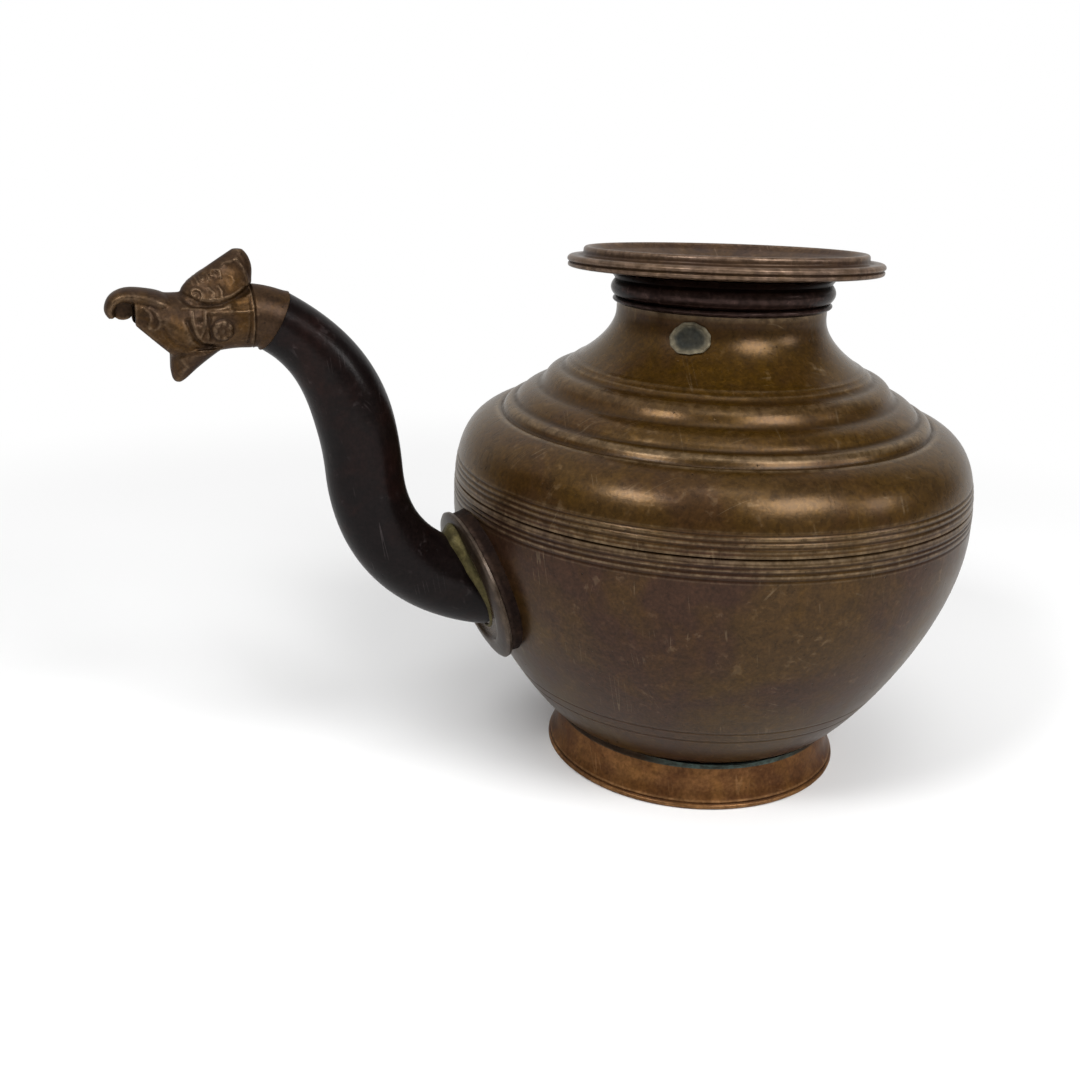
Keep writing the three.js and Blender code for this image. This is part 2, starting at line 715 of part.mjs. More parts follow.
const gapT = (1.5 * GAP) / FERRULE_L;
const ferruleRadius = (t) => SPOUT_TIP_R + (HEAD_REAR_R - SPOUT_TIP_R) * t;
const ferruleShell = solidOf(loft(
  [gapT, 0.25, 0.5, 0.75, 1 - gapT].map((t) => ferruleRing(t, ferruleRadius(t)))));
const tubeBoreR = SPOUT_TIP_R - SPOUT_WALL;
const spigotFitR = tubeBoreR - 2 * GAP;
const rearSpigot = solidOf(loft(straightRings(tip.at, tip.along, [-FERRULE_SPIGOT, 2], spigotFitR)));
const frontSpigot = solidOf(loft(straightRings(rear.at, rear.along, [-2, HEAD_SOCKET], tubeBoreR - GAP)));
const ferruleBore = solidOf(loft([
  ...straightRings(tip.at, tip.along, [-FERRULE_SPIGOT - 1], WATER_WAY_R),
  ...[0, 0.5, 1].map((t) => ferruleRing(t, WATER_WAY_R)),
  ...straightRings(rear.at, rear.along, [HEAD_SOCKET + 1], WATER_WAY_R),
]));
const ferruleSolid = cut(joined(ferruleShell, rearSpigot, frontSpigot), ferruleBore);
addPiece(spout, "spout_ferrule", geometryOf(ferruleSolid), FINISH.head);

// Beast head. Its own frame starts at the middle of its rear face.

const headPoint = (forward, up, side = 0) => inPlane(rear.at.x + forward, rear.at.y + up, side);

// Rounded section in a plane square to the head's length
function uprightRing([forward, top, bottom, half], thinner = 0) {
  const ring = [];
  for (let i = 0; i < HEAD_SIDES; i += 1) {
    const angle = (2 * Math.PI * i) / HEAD_SIDES;
    const tall = (top - bottom) / 2 - thinner;
    const up = (top + bottom) / 2 + tall * Math.cos(angle);
    ring.push(headPoint(forward, up, (half - thinner) * Math.sin(angle)));
  }
  return ring;
}

// Rounded section in a level plane, from a back to a front
function levelRing([up, back, front, half]) {
  const ring = [];
  for (let i = 0; i < HEAD_SIDES; i += 1) {
    const angle = (2 * Math.PI * i) / HEAD_SIDES;
    const forward = (front + back) / 2 + ((front - back) / 2) * Math.cos(angle);
    ring.push(headPoint(forward, up, half * Math.sin(angle)));
  }
  return ring;
}

const skull = solidOf(loft(HEAD_SECTIONS.map((section) => uprightRing(section))));
const chin = solidOf(loft(CHIN_SECTIONS.map(levelRing)));
const crest = solidOf(loft(CREST_SECTIONS.map(levelRing)));

// Trunk: a thick curled leaf, swept along its own line
const trunk = solidOf(loft(TRUNK_SECTIONS.map(([forward, up, tall, wide], i) => {
  const [f0, u0] = TRUNK_SECTIONS[Math.max(i - 1, 0)];
  const [f1, u1] = TRUNK_SECTIONS[Math.min(i + 1, TRUNK_SECTIONS.length - 1)];
  const along = new THREE.Vector2(f1 - f0, u1 - u0).normalize();
  return ringAt(new THREE.Vector2(rear.at.x + forward, rear.at.y + up), along, tall, wide, HEAD_SIDES);
})));

// Throat: the head's own form, one wall smaller, open at the rear and at the mouth
const throat = solidOf(loft([
  ...straightRings(rear.at, rear.along, [-2, HEAD_SOCKET + 0.5], tubeBoreR, HEAD_SIDES),
  ...HEAD_SECTIONS.slice(2).map((section) => uprightRing(section, HEAD_WALL)),
]));

// Mouth: everything below the upper jaw's lower edge and in front of the chin
const [[lipF, lipU], [jawF, jawU]] = MOUTH_LINE;
const openBelow = CHIN_SECTIONS.at(-1)[0] - HEAD_REAR_R;
const openAhead = CURL_HOLE.forward + 2 * HEAD_REAR_R;
const mouthShape = new THREE.Shape([
  [lipF, lipU],
  [jawF, jawU],
  [jawF + MOUTH_EDGE, openBelow],
  [openAhead, openBelow],
  [lipF + MOUTH_EDGE, lipU - MOUTH_EDGE],
].map(([f, u]) => new THREE.Vector2(f, u)));

// An outline in the head's plane pushed through the whole head, or through its middle only
function throughHead(shape, depth = 4 * HEAD_REAR_R) {
  const geometry = new THREE.ExtrudeGeometry(shape, { depth, bevelEnabled: false, curveSegments: 5 });
  const place = new THREE.Matrix4().makeBasis(
    new THREE.Vector3(-1, 0, 0), new THREE.Vector3(0, 0, 1), new THREE.Vector3(0, 1, 0));
  geometry.translate(0, 0, -depth / 2);
  geometry.applyMatrix4(place);
  geometry.translate(-rear.at.x, 0, rear.at.y);
  const merged = new THREE.BufferGeometry();
  merged.setAttribute("position", geometry.getAttribute("position"));
  return solidOf(faceOut(mergeVertices(merged, 1e-3)));
}

function curlDisc(radius) {
  const shape = new THREE.Shape();
  shape.absarc(CURL_HOLE.forward, CURL_HOLE.up, radius, 0, 2 * Math.PI);
  return shape;
}
const curlHole = throughHead(curlDisc(CURL_HOLE.r));
const curlWeb = throughHead(curlDisc(CURL_HOLE.r + CURL_WEB_LAP), CURL_WEB);

// Carved relief, the same on both cheeks

function bump(forward, up, side, radii) {
  const ball = new THREE.SphereGeometry(1, 8, 5);
  ball.scale(...radii);
  const centre = headPoint(forward, up, side);
  ball.translate(centre.x, centre.y, centre.z);
  return solidOf(ball);
}

// Half width of a list of sections where their first value passes a place
function halfAt(sections, place) {
  const i = Math.max(sections.findIndex(([value]) => value >= place), 1);
  const [a, b] = [sections[i - 1], sections[i]];
  return a[3] + ((b[3] - a[3]) * (place - a[0])) / (b[0] - a[0]);
}

const relief = [];
for (const side of [-1, 1]) {
  const eyeSide = halfAt(HEAD_SECTIONS, EYE.forward) - 0.4;
  relief.push(bump(EYE.forward, EYE.up, side * eyeSide, [EYE.r, EYE.r * 0.8, EYE.r]));
  const rosetteSide = side * (halfAt(HEAD_SECTIONS, ROSETTE.forward) - ROSETTE.wire);
  const rosette = new THREE.TorusGeometry(ROSETTE.r, ROSETTE.wire, 5, 12);
  const centre = headPoint(ROSETTE.forward, ROSETTE.up, rosetteSide);
  rosette.rotateX(Math.PI / 2);
  rosette.translate(centre.x, centre.y, centre.z);
  const bossR = 2 * ROSETTE.wire;
  relief.push(solidOf(rosette), bump(ROSETTE.forward, ROSETTE.up, rosetteSide, [bossR, bossR, bossR]));
  const cheekDeep = 1.6;
  const cheekSide = side * (halfAt(HEAD_SECTIONS, CHEEK.forward) - cheekDeep);
  relief.push(bump(CHEEK.forward, CHEEK.up, cheekSide, [CHEEK.long, CHEEK.proud + cheekDeep, CHEEK.tall]));
  for (const [forward, up] of CURLS) {
    const curlSide = side * (halfAt(CREST_SECTIONS, up) - CURL_R / 2);
    relief.push(bump(forward, up, curlSide, [CURL_R, CURL_R, CURL_R]));
  }
  const rib = new THREE.CylinderGeometry(SIDE_RIB.r, SIDE_RIB.r, SIDE_RIB.to - SIDE_RIB.from, 6);
  const ribMiddle = (SIDE_RIB.from + SIDE_RIB.to) / 2;
  const ribSide = side * (halfAt(HEAD_SECTIONS, ribMiddle) * 0.87 - SIDE_RIB.r / 2);
  const ribCentre = headPoint(ribMiddle, SIDE_RIB.up, ribSide);
  rib.rotateZ(Math.PI / 2);
  rib.translate(ribCentre.x, ribCentre.y, ribCentre.z);
  relief.push(solidOf(rib));
}

const ferruleTop = HEAD_REAR_R + GAP;
const wellClear = 2 * HEAD_REAR_R;
const behindRear = new THREE.Shape([
  [-wellClear, -wellClear],
  [GAP, -wellClear],
  [GAP, ferruleTop],
  [-wellClear, ferruleTop],
].map(([f, u]) => new THREE.Vector2(f, u)));
const headForm = cut(joined(skull, chin, trunk), throughHead(mouthShape), curlHole);
const headSolid = cut(joined(headForm, curlWeb, crest, ...relief), throat, throughHead(behindRear));
addPiece(spout, "beast_head", geometryOf(headSolid), FINISH.head);

// Wax seal pressed on the neck: its thin disc and its plain raised rim follow the neck's surface

const neckSide = [...neck, [NECK_R, collarZ - GAP]];

function overNeck(near, far) {
  return solidOf(turned([...inset(neckSide, -far), ...inset(neckSide, -near).reverse()]));
}

function sealPress(margin) {
  const press = turned([[0, 0], [1, 0], [1, 2 * NECK_R], [0, 2 * NECK_R]], 16);
  press.scale(SEAL_WIDE - margin, SEAL_TALL - margin, 1);
  press.rotateX(Math.PI / 2);
  press.translate(0, 0, neckZ - SEAL_DROP);
  press.rotateZ(THREE.MathUtils.degToRad(SEAL_AZIMUTH) - Math.PI / 2);
  return solidOf(press);
}

const sealDisc = overNeck(GAP, SEAL_T).intersect(sealPress(0));
const sealRim = overNeck(GAP, SEAL_T + SEAL_RIM / 2).intersect(sealPress(0));
const sealSolid = joined(sealDisc, cut(sealRim, sealPress(SEAL_RIM)));
addPiece(body, "neck_seal", leaned(geometryOf(sealSolid)), FINISH.wax);

// The whole stands with its middle over the origin

const extent = new THREE.Box3().setFromObject(pot);
pot.position.set(-(extent.min.x + extent.max.x) / 2, -(extent.min.y + extent.max.y) / 2, 0);

export default pot;
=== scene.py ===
"""Spouted water pot of patinated bronze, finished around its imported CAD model.

Every CAD node is replaced by a smooth piece of the same form, which carries the fine shapes and the
surface that a faceted solid can't hold. Pieces are shaped in millimetres in the pot's own frame, with
its axis through the origin, the spout towards -X and the front towards -Y, and are scaled to metres and
moved to the row's frame as they are finished.
"""

import logging
import math
from dataclasses import dataclass, field
from enum import Enum
from typing import Callable, Sequence

import bmesh
import bpy
import numpy as np
from mathutils import Matrix, Vector

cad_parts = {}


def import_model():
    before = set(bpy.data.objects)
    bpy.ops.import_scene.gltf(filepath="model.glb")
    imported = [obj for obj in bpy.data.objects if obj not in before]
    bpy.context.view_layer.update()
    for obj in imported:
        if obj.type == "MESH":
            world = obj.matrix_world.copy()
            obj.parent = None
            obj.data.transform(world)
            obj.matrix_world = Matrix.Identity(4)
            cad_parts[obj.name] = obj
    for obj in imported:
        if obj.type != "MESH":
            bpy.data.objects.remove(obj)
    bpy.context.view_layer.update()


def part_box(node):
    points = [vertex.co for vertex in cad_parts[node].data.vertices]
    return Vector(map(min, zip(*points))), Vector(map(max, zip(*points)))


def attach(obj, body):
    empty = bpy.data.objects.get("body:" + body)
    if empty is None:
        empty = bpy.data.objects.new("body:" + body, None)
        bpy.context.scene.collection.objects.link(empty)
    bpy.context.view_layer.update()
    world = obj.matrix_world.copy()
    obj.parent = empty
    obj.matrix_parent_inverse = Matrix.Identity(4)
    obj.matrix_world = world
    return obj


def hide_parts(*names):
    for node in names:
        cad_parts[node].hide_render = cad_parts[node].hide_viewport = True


LOG = logging.getLogger("water_pot")
MM = 0.001
FULL_TURN = 2 * math.pi
TURNED_STEPS = 192  # faces round a turned piece
ON_AXIS = 1e-6  # a point of an outline nearer to the axis than this lies on it
MERGED = 1e-3  # points of a mesh nearer to each other than this, in millimetres, become one
OUTWARD = Vector((0, 0, 1))  # the axis of a turned piece before it is placed
AHEAD = Vector((-1, 0, 0))  # the way that the head looks
Point = tuple[float, float]
Triple = tuple[float, float, float]
Part = bmesh.types.BMVert | bmesh.types.BMEdge | bmesh.types.BMFace


# Colours and nodes


def linear(code: str) -> tuple[float, float, float, float]:
    """Turn an sRGB hex colour into linear red, green, blue and alpha.

    Args:
        code: six hex digits, such as "453324".

    Returns:
        The linear colour with an alpha of 1.
    """
    parts = [int(code[i : i + 2], 16) / 255 for i in (0, 2, 4)]
    red, green, blue = (c / 12.92 if c <= 0.04045 else ((c + 0.055) / 1.055) ** 2.4 for c in parts)
    return (red, green, blue, 1.0)


def add(
    tree: bpy.types.NodeTree, kind: str, settings: dict | None = None, inputs: dict | None = None
) -> bpy.types.Node:
    """Add one node with its settings, and link or set its inputs.

    Args:
        tree: the node tree that takes the node.
        kind: the node's type name.
        settings: properties of the node itself.
        inputs: values or output sockets, by input name or number.

    Returns:
        The new node.
    """
    made = tree.nodes.new(kind)
    for key, value in (settings or {}).items():
        setattr(made, key, value)
    for key, value in (inputs or {}).items():
        if isinstance(value, bpy.types.NodeSocket):
            tree.links.new(value, made.inputs[key])
        else:
            made.inputs[key].default_value = value
    return made


def bearing(azimuth: float, elevation: float) -> Vector:
    """Find a direction.

    Args:
        azimuth: degrees from the front towards +X.
        elevation: degrees above the level.

    Returns:
        The unit vector.
    """
    a, e = math.radians(azimuth), math.radians(elevation)
    return Vector((math.sin(a) * math.cos(e), -math.cos(a) * math.cos(e), math.sin(e)))


# Outlines of turned pieces, as lists of radius and height in millimetres


def bezier(start: Point, first: Point, second: Point, end: Point, count: int = 24) -> list[Point]:
    """Sample a cubic curve.

    Args:
        start: where it starts.
        first: its first control point.
        second: its second control point.
        end: where it ends.
        count: how many stretches it is sampled in.

    Returns:
        The points along it, both ends included.
    """
    points = []
    for i in range(count + 1):
        t = i / count
        shares = ((1 - t) ** 3, 3 * t * (1 - t) ** 2, 3 * t * t * (1 - t), t**3)
        corners = (start, first, second, end)
        points.append(tuple(sum(w * p[k] for w, p in zip(shares, corners)) for k in (0, 1)))
    return points


def crowned(start: Point, end: Point, rise: float, count: int = 8) -> list[Point]:
    """Sample a shallow arc between two points.

    Args:
        start: where it starts.
        end: where it ends.
        rise: how far its middle stands to the right of the straight line.
        count: how many stretches it is sampled in.

    Returns:
        The points after the first.
    """
    run, climb = end[0] - start[0], end[1] - start[1]
    length = math.hypot(run, climb)
    points = []
    for i in range(1, count + 1):
        t = i / count
        lift = rise * 4 * t * (1 - t) / length
        points.append((start[0] + run * t + lift * climb, start[1] + climb * t - lift * run))
    return points


def offset(points: Sequence[Point], distance: float) -> list[Point]:
    """Move an open outline to its left, square to its own direction.

    Args:
        points: the outline, upwards on the outside.
        distance: how far it moves inwards.

    Returns:
        The moved outline.
    """
    moved = []
    for i, (radius, height) in enumerate(points):
        before, after = points[max(i - 1, 0)], points[min(i + 1, len(points) - 1)]
        run, climb = after[0] - before[0], after[1] - before[1]
        length = math.hypot(run, climb)
        moved.append((max(radius - distance * climb / length, 0.0), height + distance * run / length))
    return moved


def refined(points: Sequence[Point], step: float) -> list[Point]:
    """Split the long stretches of an outline.

    Args:
        points: the outline.
        step: the longest stretch that stays whole.

    Returns:
        The same outline with more points on it.
    """
    result = [points[0]]
    for a, b in zip(points, points[1:]):
        run, climb = b[0] - a[0], b[1] - a[1]
        parts = max(1, math.ceil(math.hypot(run, climb) / step))
        result += [(a[0] + run * k / parts, a[1] + climb * k / parts) for k in range(1, parts + 1)]
    return result


def eased(points: Sequence[Point], reach: float, step: float = 0.4) -> list[Point]:
    """Wear down the corners of an open outline.

    Args:
        points: the outline.
        reach: how far along it each of its points is averaged.
        step: the distance between the points of the result.

    Returns:
        The softened outline, with the same ends.
    """
    spots = np.array(points)
    lengths = np.concatenate([[0], np.cumsum(np.hypot(*np.diff(spots, axis=0).T))])
    places = np.linspace(0, lengths[-1], int(lengths[-1] / step) + 1)
    result = []
    for place in places:
        near = min(reach, place, lengths[-1] - place)
        around = np.linspace(place - near, place + near, 9)
        result.append(tuple(float(np.interp(around, lengths, spots[:, k]).mean()) for k in (0, 1)))
    return result


def rounded(points: Sequence[Point], radius: float, count: int = 3) -> list[Point]:
    """Round every corner of a closed outline.

    Args:
        points: the outline's corners.
        radius: how far from a corner its rounding starts, at most.
        count: how many stretches each rounding has.

    Returns:
        The rounded outline. Corners on the axis stay.
    """
    result = []
    for i, corner in enumerate(points):
        before, after = Vector(points[i - 1]), Vector(points[(i + 1) % len(points)])
        here = Vector(corner)
        if corner[0] < ON_AXIS:
            result.append(corner)
            continue
        reach_in = min(radius, (before - here).length * 0.4)
        reach_out = min(radius, (after - here).length * 0.4)
        start = here + (before - here).normalized() * reach_in
        end = here + (after - here).normalized() * reach_out
        for k in range(count + 1):
            t = k / count
            spot = start * (1 - t) ** 2 + here * (2 * t * (1 - t)) + end * t * t
            result.append((spot.x, spot.y))
    return result


def radius_at(points: Sequence[Point], height: float) -> float:
    """Read the radius of a rising outline at a height.

    Args:
        points: the outline.
        height: the height.

    Returns:
        The radius there.
    """
    return float(np.interp(height, [z for _, z in points], [r for r, _ in points]))


def hollows(
    points: Sequence[Point], closed: bool, reach: float = 1.1, full: float = 0.22
) -> list[float]:
    """Find how deep each point of an outline lies in a hollow.

    Args:
        points: the outline, upwards on the outside.
        closed: whether its last point joins its first.
        reach: distance along the outline to the points it is compared with.
        full: depth in millimetres that counts as 1.

    Returns:
        From -1, on a sharp edge, to 1, in a deep line.
    """
    spots = np.array(list(points) + [points[0]] if closed else points)
    lengths = np.concatenate([[0], np.cumsum(np.hypot(*np.diff(spots, axis=0).T))])
    total = lengths[-1]
    values = []
    for i in range(len(points)):
        around = [lengths[i] - reach, lengths[i] + reach]
        if closed:
            around = [s % total for s in around]
        near = np.stack([np.interp(around, lengths, spots[:, k]) for k in (0, 1)], axis=1)
        run, climb = near[1] - near[0]
        middle = near.mean(axis=0) - spots[i]
        size = math.hypot(run, climb) or 1.0
        values.append(float(np.clip((middle[0] * climb - middle[1] * run) / size / full, -1, 1)))
    return values


# Meshes


def turned(
    points: Sequence[Point], steps: int = TURNED_STEPS, marked: bool = True
) -> bmesh.types.BMesh:
    """Spin a closed outline round the axis.

    Args:
        points: the outline's points, in order.
        steps: faces round the piece.
        marked: whether its hollows are marked for the finish.

    Returns:
        The turned mesh, in millimetres.
    """
    form = bmesh.new()
    closed = points[0][0] > ON_AXIS
    layer = form.verts.layers.float.new("hollow") if marked else None
    verts = [form.verts.new((radius, 0, height)) for radius, height in points]
    if marked:
        for vert, value in zip(verts, hollows(points, closed)):
            vert[layer] = value
    edges = [form.edges.new(pair) for pair in zip(verts, verts[1:])]
    if closed:
        edges.append(form.edges.new((verts[-1], verts[0])))
    ring = {"cent": (0, 0, 0), "axis": (0, 0, 1), "angle": FULL_TURN, "steps": steps}
    bmesh.ops.spin(form, geom=verts + edges, use_merge=True, **ring)
    bmesh.ops.remove_doubles(form, verts=form.verts, dist=MERGED)
    bmesh.ops.recalc_face_normals(form, faces=form.faces)
    return form


def of_kind(made: Sequence[Part], kind: type) -> list[Part]:
    """The parts of a mesh operation's result that are of one kind."""
    return [item for item in made if isinstance(item, kind)]


def lofted(rings: Sequence[Matrix], sides: int, looped: bool = False) -> bmesh.types.BMesh:
    """Extrude a circle from ring to ring.

    Args:
        rings: what takes the unit circle to each ring.
        sides: points round each ring.
        looped: whether the last ring joins the first. If not, both ends are closed.

    Returns:
        The closed mesh.
    """
    form = bmesh.new()
    circle = bmesh.ops.create_circle(form, cap_ends=False, radius=1.0, segments=sides)["verts"]
    shape = [vert.co.copy() for vert in circle]
    edges = form.edges[:]
    first, current = list(edges), list(circle)
    for vert, spot in zip(current, shape):
        vert.co = rings[0] @ spot
    for ring in rings[1:]:
        made = bmesh.ops.extrude_edge_only(form, edges=edges)["geom"]
        edges = [edge for edge in of_kind(made, bmesh.types.BMEdge) if len(edge.link_faces) == 1]
        partner = {}
        for vert in of_kind(made, bmesh.types.BMVert):
            others = (edge.other_vert(vert) for edge in vert.link_edges)
            old = next(other for other in others if other in current)
            partner[old] = vert
        current = [partner[vert] for vert in current]
        for vert, spot in zip(current, shape):
            vert.co = ring @ spot
    if looped:
        bmesh.ops.bridge_loops(form, edges=first + edges)
    else:
        bmesh.ops.holes_fill(form, edges=first + edges, sides=0)
    bmesh.ops.recalc_face_normals(form, faces=form.faces)
    return form


def ring_at(centre: Vector, along: Vector, tall: float, wide: float | None = None) -> Matrix:
    """Place the unit circle square to a direction in the plane of the spout.

    Args:
        centre: the ring's centre.
        along: the direction that the ring faces.
        tall: its radius in that plane.
        wide: its radius across the plane, where it differs.

    Returns:
        The matrix that takes the unit circle there.
    """
    across = Vector((0, 1, 0))
    up = across.cross(along).normalized()
    columns = Matrix((up * tall, across * (wide or tall), along.normalized())).transposed()
    return Matrix.Translation(centre) @ columns.to_4x4()


def placed(name: str, data: bpy.types.ID) -> bpy.types.Object:
    """Make an object and link it to the scene.

    Args:
        name: the object's name.
        data: its mesh, lamp or camera.

    Returns:
        The object.
    """
    made = bpy.data.objects.new(name, data)
    bpy.context.scene.collection.objects.link(made)
    return made


@dataclass
class Bench:
    """Where finished pieces go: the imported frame, the pot's axis in it and the finishes in use."""

    axis_x: float
    made: int = 0
    dressed: dict["Finish", bpy.types.Material] = field(default_factory=dict)

    @classmethod
    def from_frame(cls) -> "Bench":
        """Read the pot's axis from the middle of the foot, in millimetres."""
        low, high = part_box("foot_ring")
        return cls(axis_x=(low.x + high.x) / 2 / MM)

    def object_of(self, form: bmesh.types.BMesh, name: str) -> bpy.types.Object:
        """Make an object of a mesh that is still in millimetres, and free the mesh.

        Args:
            form: the mesh.
            name: the object's name.

        Returns:
            The object, linked to the scene.
        """
        mesh = bpy.data.meshes.new(name)
        form.to_mesh(mesh)
        form.free()
        return placed(name, mesh)

    def finish(
        self, made: bpy.types.Object, node: str, slot: str, finish: "Finish", sharp: float = 38
    ) -> None:
        """Scale a piece to metres, put it in the row's frame and dress it.

        Args:
            made: the piece, in millimetres in the pot's frame.
            node: the CAD node that it stands for.
            slot: the record's material slot; not used.
            finish: its finish.
            sharp: edges that turn by more degrees than this stay sharp.
        """
        made.data.transform(Matrix.Scale(MM, 4) @ Matrix.Translation((self.axis_x, 0, 0)))
        if finish not in self.dressed:
            self.dressed[finish] = finish.value.material()
        made.data.materials.clear()
        made.data.materials.append(self.dressed[finish])
        made.data.polygons.foreach_set("use_smooth", [True] * len(made.data.polygons))
        made.data.set_sharp_from_angle(angle=math.radians(sharp))
        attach(made, "root")
        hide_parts(node)
        self.made += 1
        LOG.info("%s stands for %s, %d faces", made.name, node, len(made.data.polygons))


# Finishes


@dataclass(frozen=True)
class AgedBronze:
    """Cast bronze under an old brown patina.

    To the eye it is a dark metal with soft, broad reflections: thin and gold where hands rub it,
    thick and purple-brown where they don't, dark in every line and hollow with soiling and painted
    shade, pale on sharp edges with wear and a painted highlight, and with a few bright scratches.
    """

    name: str
    ground: str  # the broad brown
    cool: str  # where the patina is thick
    warm: str  # where it is rubbed thin
    dirt_and_shade: str  # in pits, and in lines and corners as dirt with painted shade
    wear_and_highlight: str  # in scratches and flecks, and on sharp edges as wear with a painted highlight
    metallic: float = 0.45
    roughness: float = 0.32  # the surface's middle value
    smoothest: float = 0.17  # how far below it the cleanest metal lies
    specular: float = 0.06
    film: float = 0.2  # the thin glossy skin that handling leaves
    film_roughness: float = 0.29
    edge_tint: str = "ccc8c0"  # keeps grazing edges from turning white
    cool_share: float = 0.8
    warm_share: float = 0.3
    # how strongly lines and hollows take dirt and painted shade
    dirt_and_shade_share: float = 0.65
    # how strongly sharp edges take wear and a painted highlight
    wear_and_highlight_share: float = 0.4
    cloud_mm: float = 42.0
    blotch_mm: float = 17.0
    mottle_mm: float = 3.4
    grain_mm: float = 1.2
    turning_mm: float = 0.8  # spacing of the lathe's marks, drawn coarser than real so that they show
    turning: float = 1.0
    scratches: float = 0.22
    scratch_width: float = 0.014
    flecks: float = 0.12
    pits: float = 0.8
    relief: float = 1.0
    green: str = "42534f"  # verdigris, where the piece is marked for it
    axis_x: float = 58.6  # the pot's axis in the row's frame, which the patterns are centred on

    def patterns(self) -> dict[str, tuple[Triple, float, float, Triple]]:
        """List the cloudy patterns.

        Returns:
            By name, each pattern's sizes in millimetres, detail, stirring and turn in degrees.
        """
        return {
            "cloud": ((self.cloud_mm,) * 3, 3, 0.6, (0, 0, 0)),
            "blotch": ((self.blotch_mm,) * 3, 4, 1.0, (0, 30, 0)),
            "mottle": ((self.mottle_mm,) * 3, 3, 0.4, (0, 0, 0)),
            "grain": ((self.grain_mm,) * 3, 2, 0.0, (0, 0, 0)),
            "turned": ((60, 60, self.turning_mm), 2, 0.0, (0, 0, 0)),
            "scratch_up": ((90, 1.7, 90), 0, 0.0, (20, 52, 10)),
            "scratch_down": ((90, 2.3, 90), 0, 0.0, (-12, -38, 75)),
            "where": ((13,) * 3, 2, 0.0, (40, 0, 0)),
        }

    def material(self) -> bpy.types.Material:
        """Build the procedural material.

        Returns:
            The material, for every piece that has this finish.
        """
        made = bpy.data.materials.new(self.name)
        made.use_nodes = True
        tree = made.node_tree
        shader = tree.nodes["Principled BSDF"]
        place = add(tree, "ShaderNodeTexCoord").outputs["Object"]
        value = {}
        for name in ("hollow", "verdigris", "handled"):
            value[name] = add(tree, "ShaderNodeAttribute", {"attribute_name": name}).outputs["Fac"]
        for name, (sizes, detail, stirring, turn) in self.patterns().items():
            inputs = {
                "Vector": place,
                "Location": (self.axis_x * MM, 0, 0),
                "Rotation": [math.radians(a) for a in turn],
                "Scale": [s * MM for s in sizes],
            }
            fitted = add(tree, "ShaderNodeMapping", {"vector_type": "TEXTURE"}, inputs).outputs[0]
            inputs = {"Vector": fitted, "Scale": 1.0, "Detail": detail, "Distortion": stirring}
            value[name] = add(tree, "ShaderNodeTexNoise", {}, inputs).outputs[0]
        for name, cell_mm in (("pit", 5.2), ("speck", 2.1)):
            cells = add(tree, "ShaderNodeTexVoronoi", {}, {"Vector": place, "Scale": 1 / (cell_mm * MM)})
            value[name] = cells.outputs["Distance"]
            split = add(tree, "ShaderNodeSeparateColor", {}, {0: cells.outputs["Color"]})
            value[f"{name}_kind"] = split.outputs[0]
        for name in ("scratch_up", "scratch_down"):
            inputs = {0: value[name], 1: 0.5, 2: self.scratch_width}
            value[name] = add(tree, "ShaderNodeMath", {"operation": "COMPARE"}, inputs).outputs[0]
        ranges = (
            ("thick", "cloud", 0.42, 0.58, 0.0, self.cool_share),
            ("rubbed", "blotch", 0.5, 0.72, 0.0, self.warm_share),
            ("shade", "grain", 0.25, 0.75, 0.72, 1.28),
            ("soft_shade", "mottle", 0.3, 0.7, 0.8, 1.2),
            ("fleck", "mottle", 0.6, 0.68, 0.0, self.flecks),
            ("fleck_here", "where", 0.5, 0.62, 0.0, 1.0),
            ("scratch_here", "where", 0.6, 0.68, 0.0, self.scratches),
            ("scratch_there", "where", 0.4, 0.33, 0.0, self.scratches),
            ("pit", "pit", 0.035, 0.075, 1.0, 0.0),
            ("pit_kind", "pit_kind", 0.7, 0.74, 0.0, self.pits),
            ("speck", "speck", 0.05, 0.11, 1.0, 0.0),
            ("speck_kind", "speck_kind", 0.78, 0.8, 0.0, self.pits),
            # lines and hollows: dirt and painted shade
            ("grime_and_shade", "hollow", 0.1, 0.95, 0.0, self.dirt_and_shade_share),
            # sharp edges: wear and a painted highlight
            ("edge", "hollow", -0.2, -0.9, 0.0, self.wear_and_highlight_share),
            ("uneven", "mottle", 0.35, 0.65, 0.45, 1.0),
            ("green", "verdigris", 0.25, 0.75, 0.0, 0.9),
            ("handled", "handled", 0.0, 1.0, 0.0, 0.9),
            ("handled_here", "blotch", 0.3, 0.6, 0.5, 1.0),
        )
        for name, source, low, high, start, end in ranges:
            inputs = {"Value": value[source], "From Min": low, "From Max": high}
            inputs |= {"To Min": start, "To Max": end}
            value[name] = add(tree, "ShaderNodeMapRange", {"clamp": True}, inputs).outputs[0]
        products = (
            ("shade", "shade", "soft_shade"),
            ("fleck", "fleck", "fleck_here"),
            ("scratch_up", "scratch_up", "scratch_here"),
            ("scratch_down", "scratch_down", "scratch_there"),
            ("pit", "pit", "pit_kind"),
            ("speck", "speck", "speck_kind"),
            ("grime_and_shade", "grime_and_shade", "uneven"),
            ("edge", "edge", "uneven"),
            ("green", "green", "uneven"),
            ("handled", "handled", "handled_here"),
        )
        for name, one, other in products:
            inputs = {0: value[one], 1: value[other]}
            value[name] = add(tree, "ShaderNodeMath", {"operation": "MULTIPLY"}, inputs).outputs[0]
        colour = linear(self.ground)
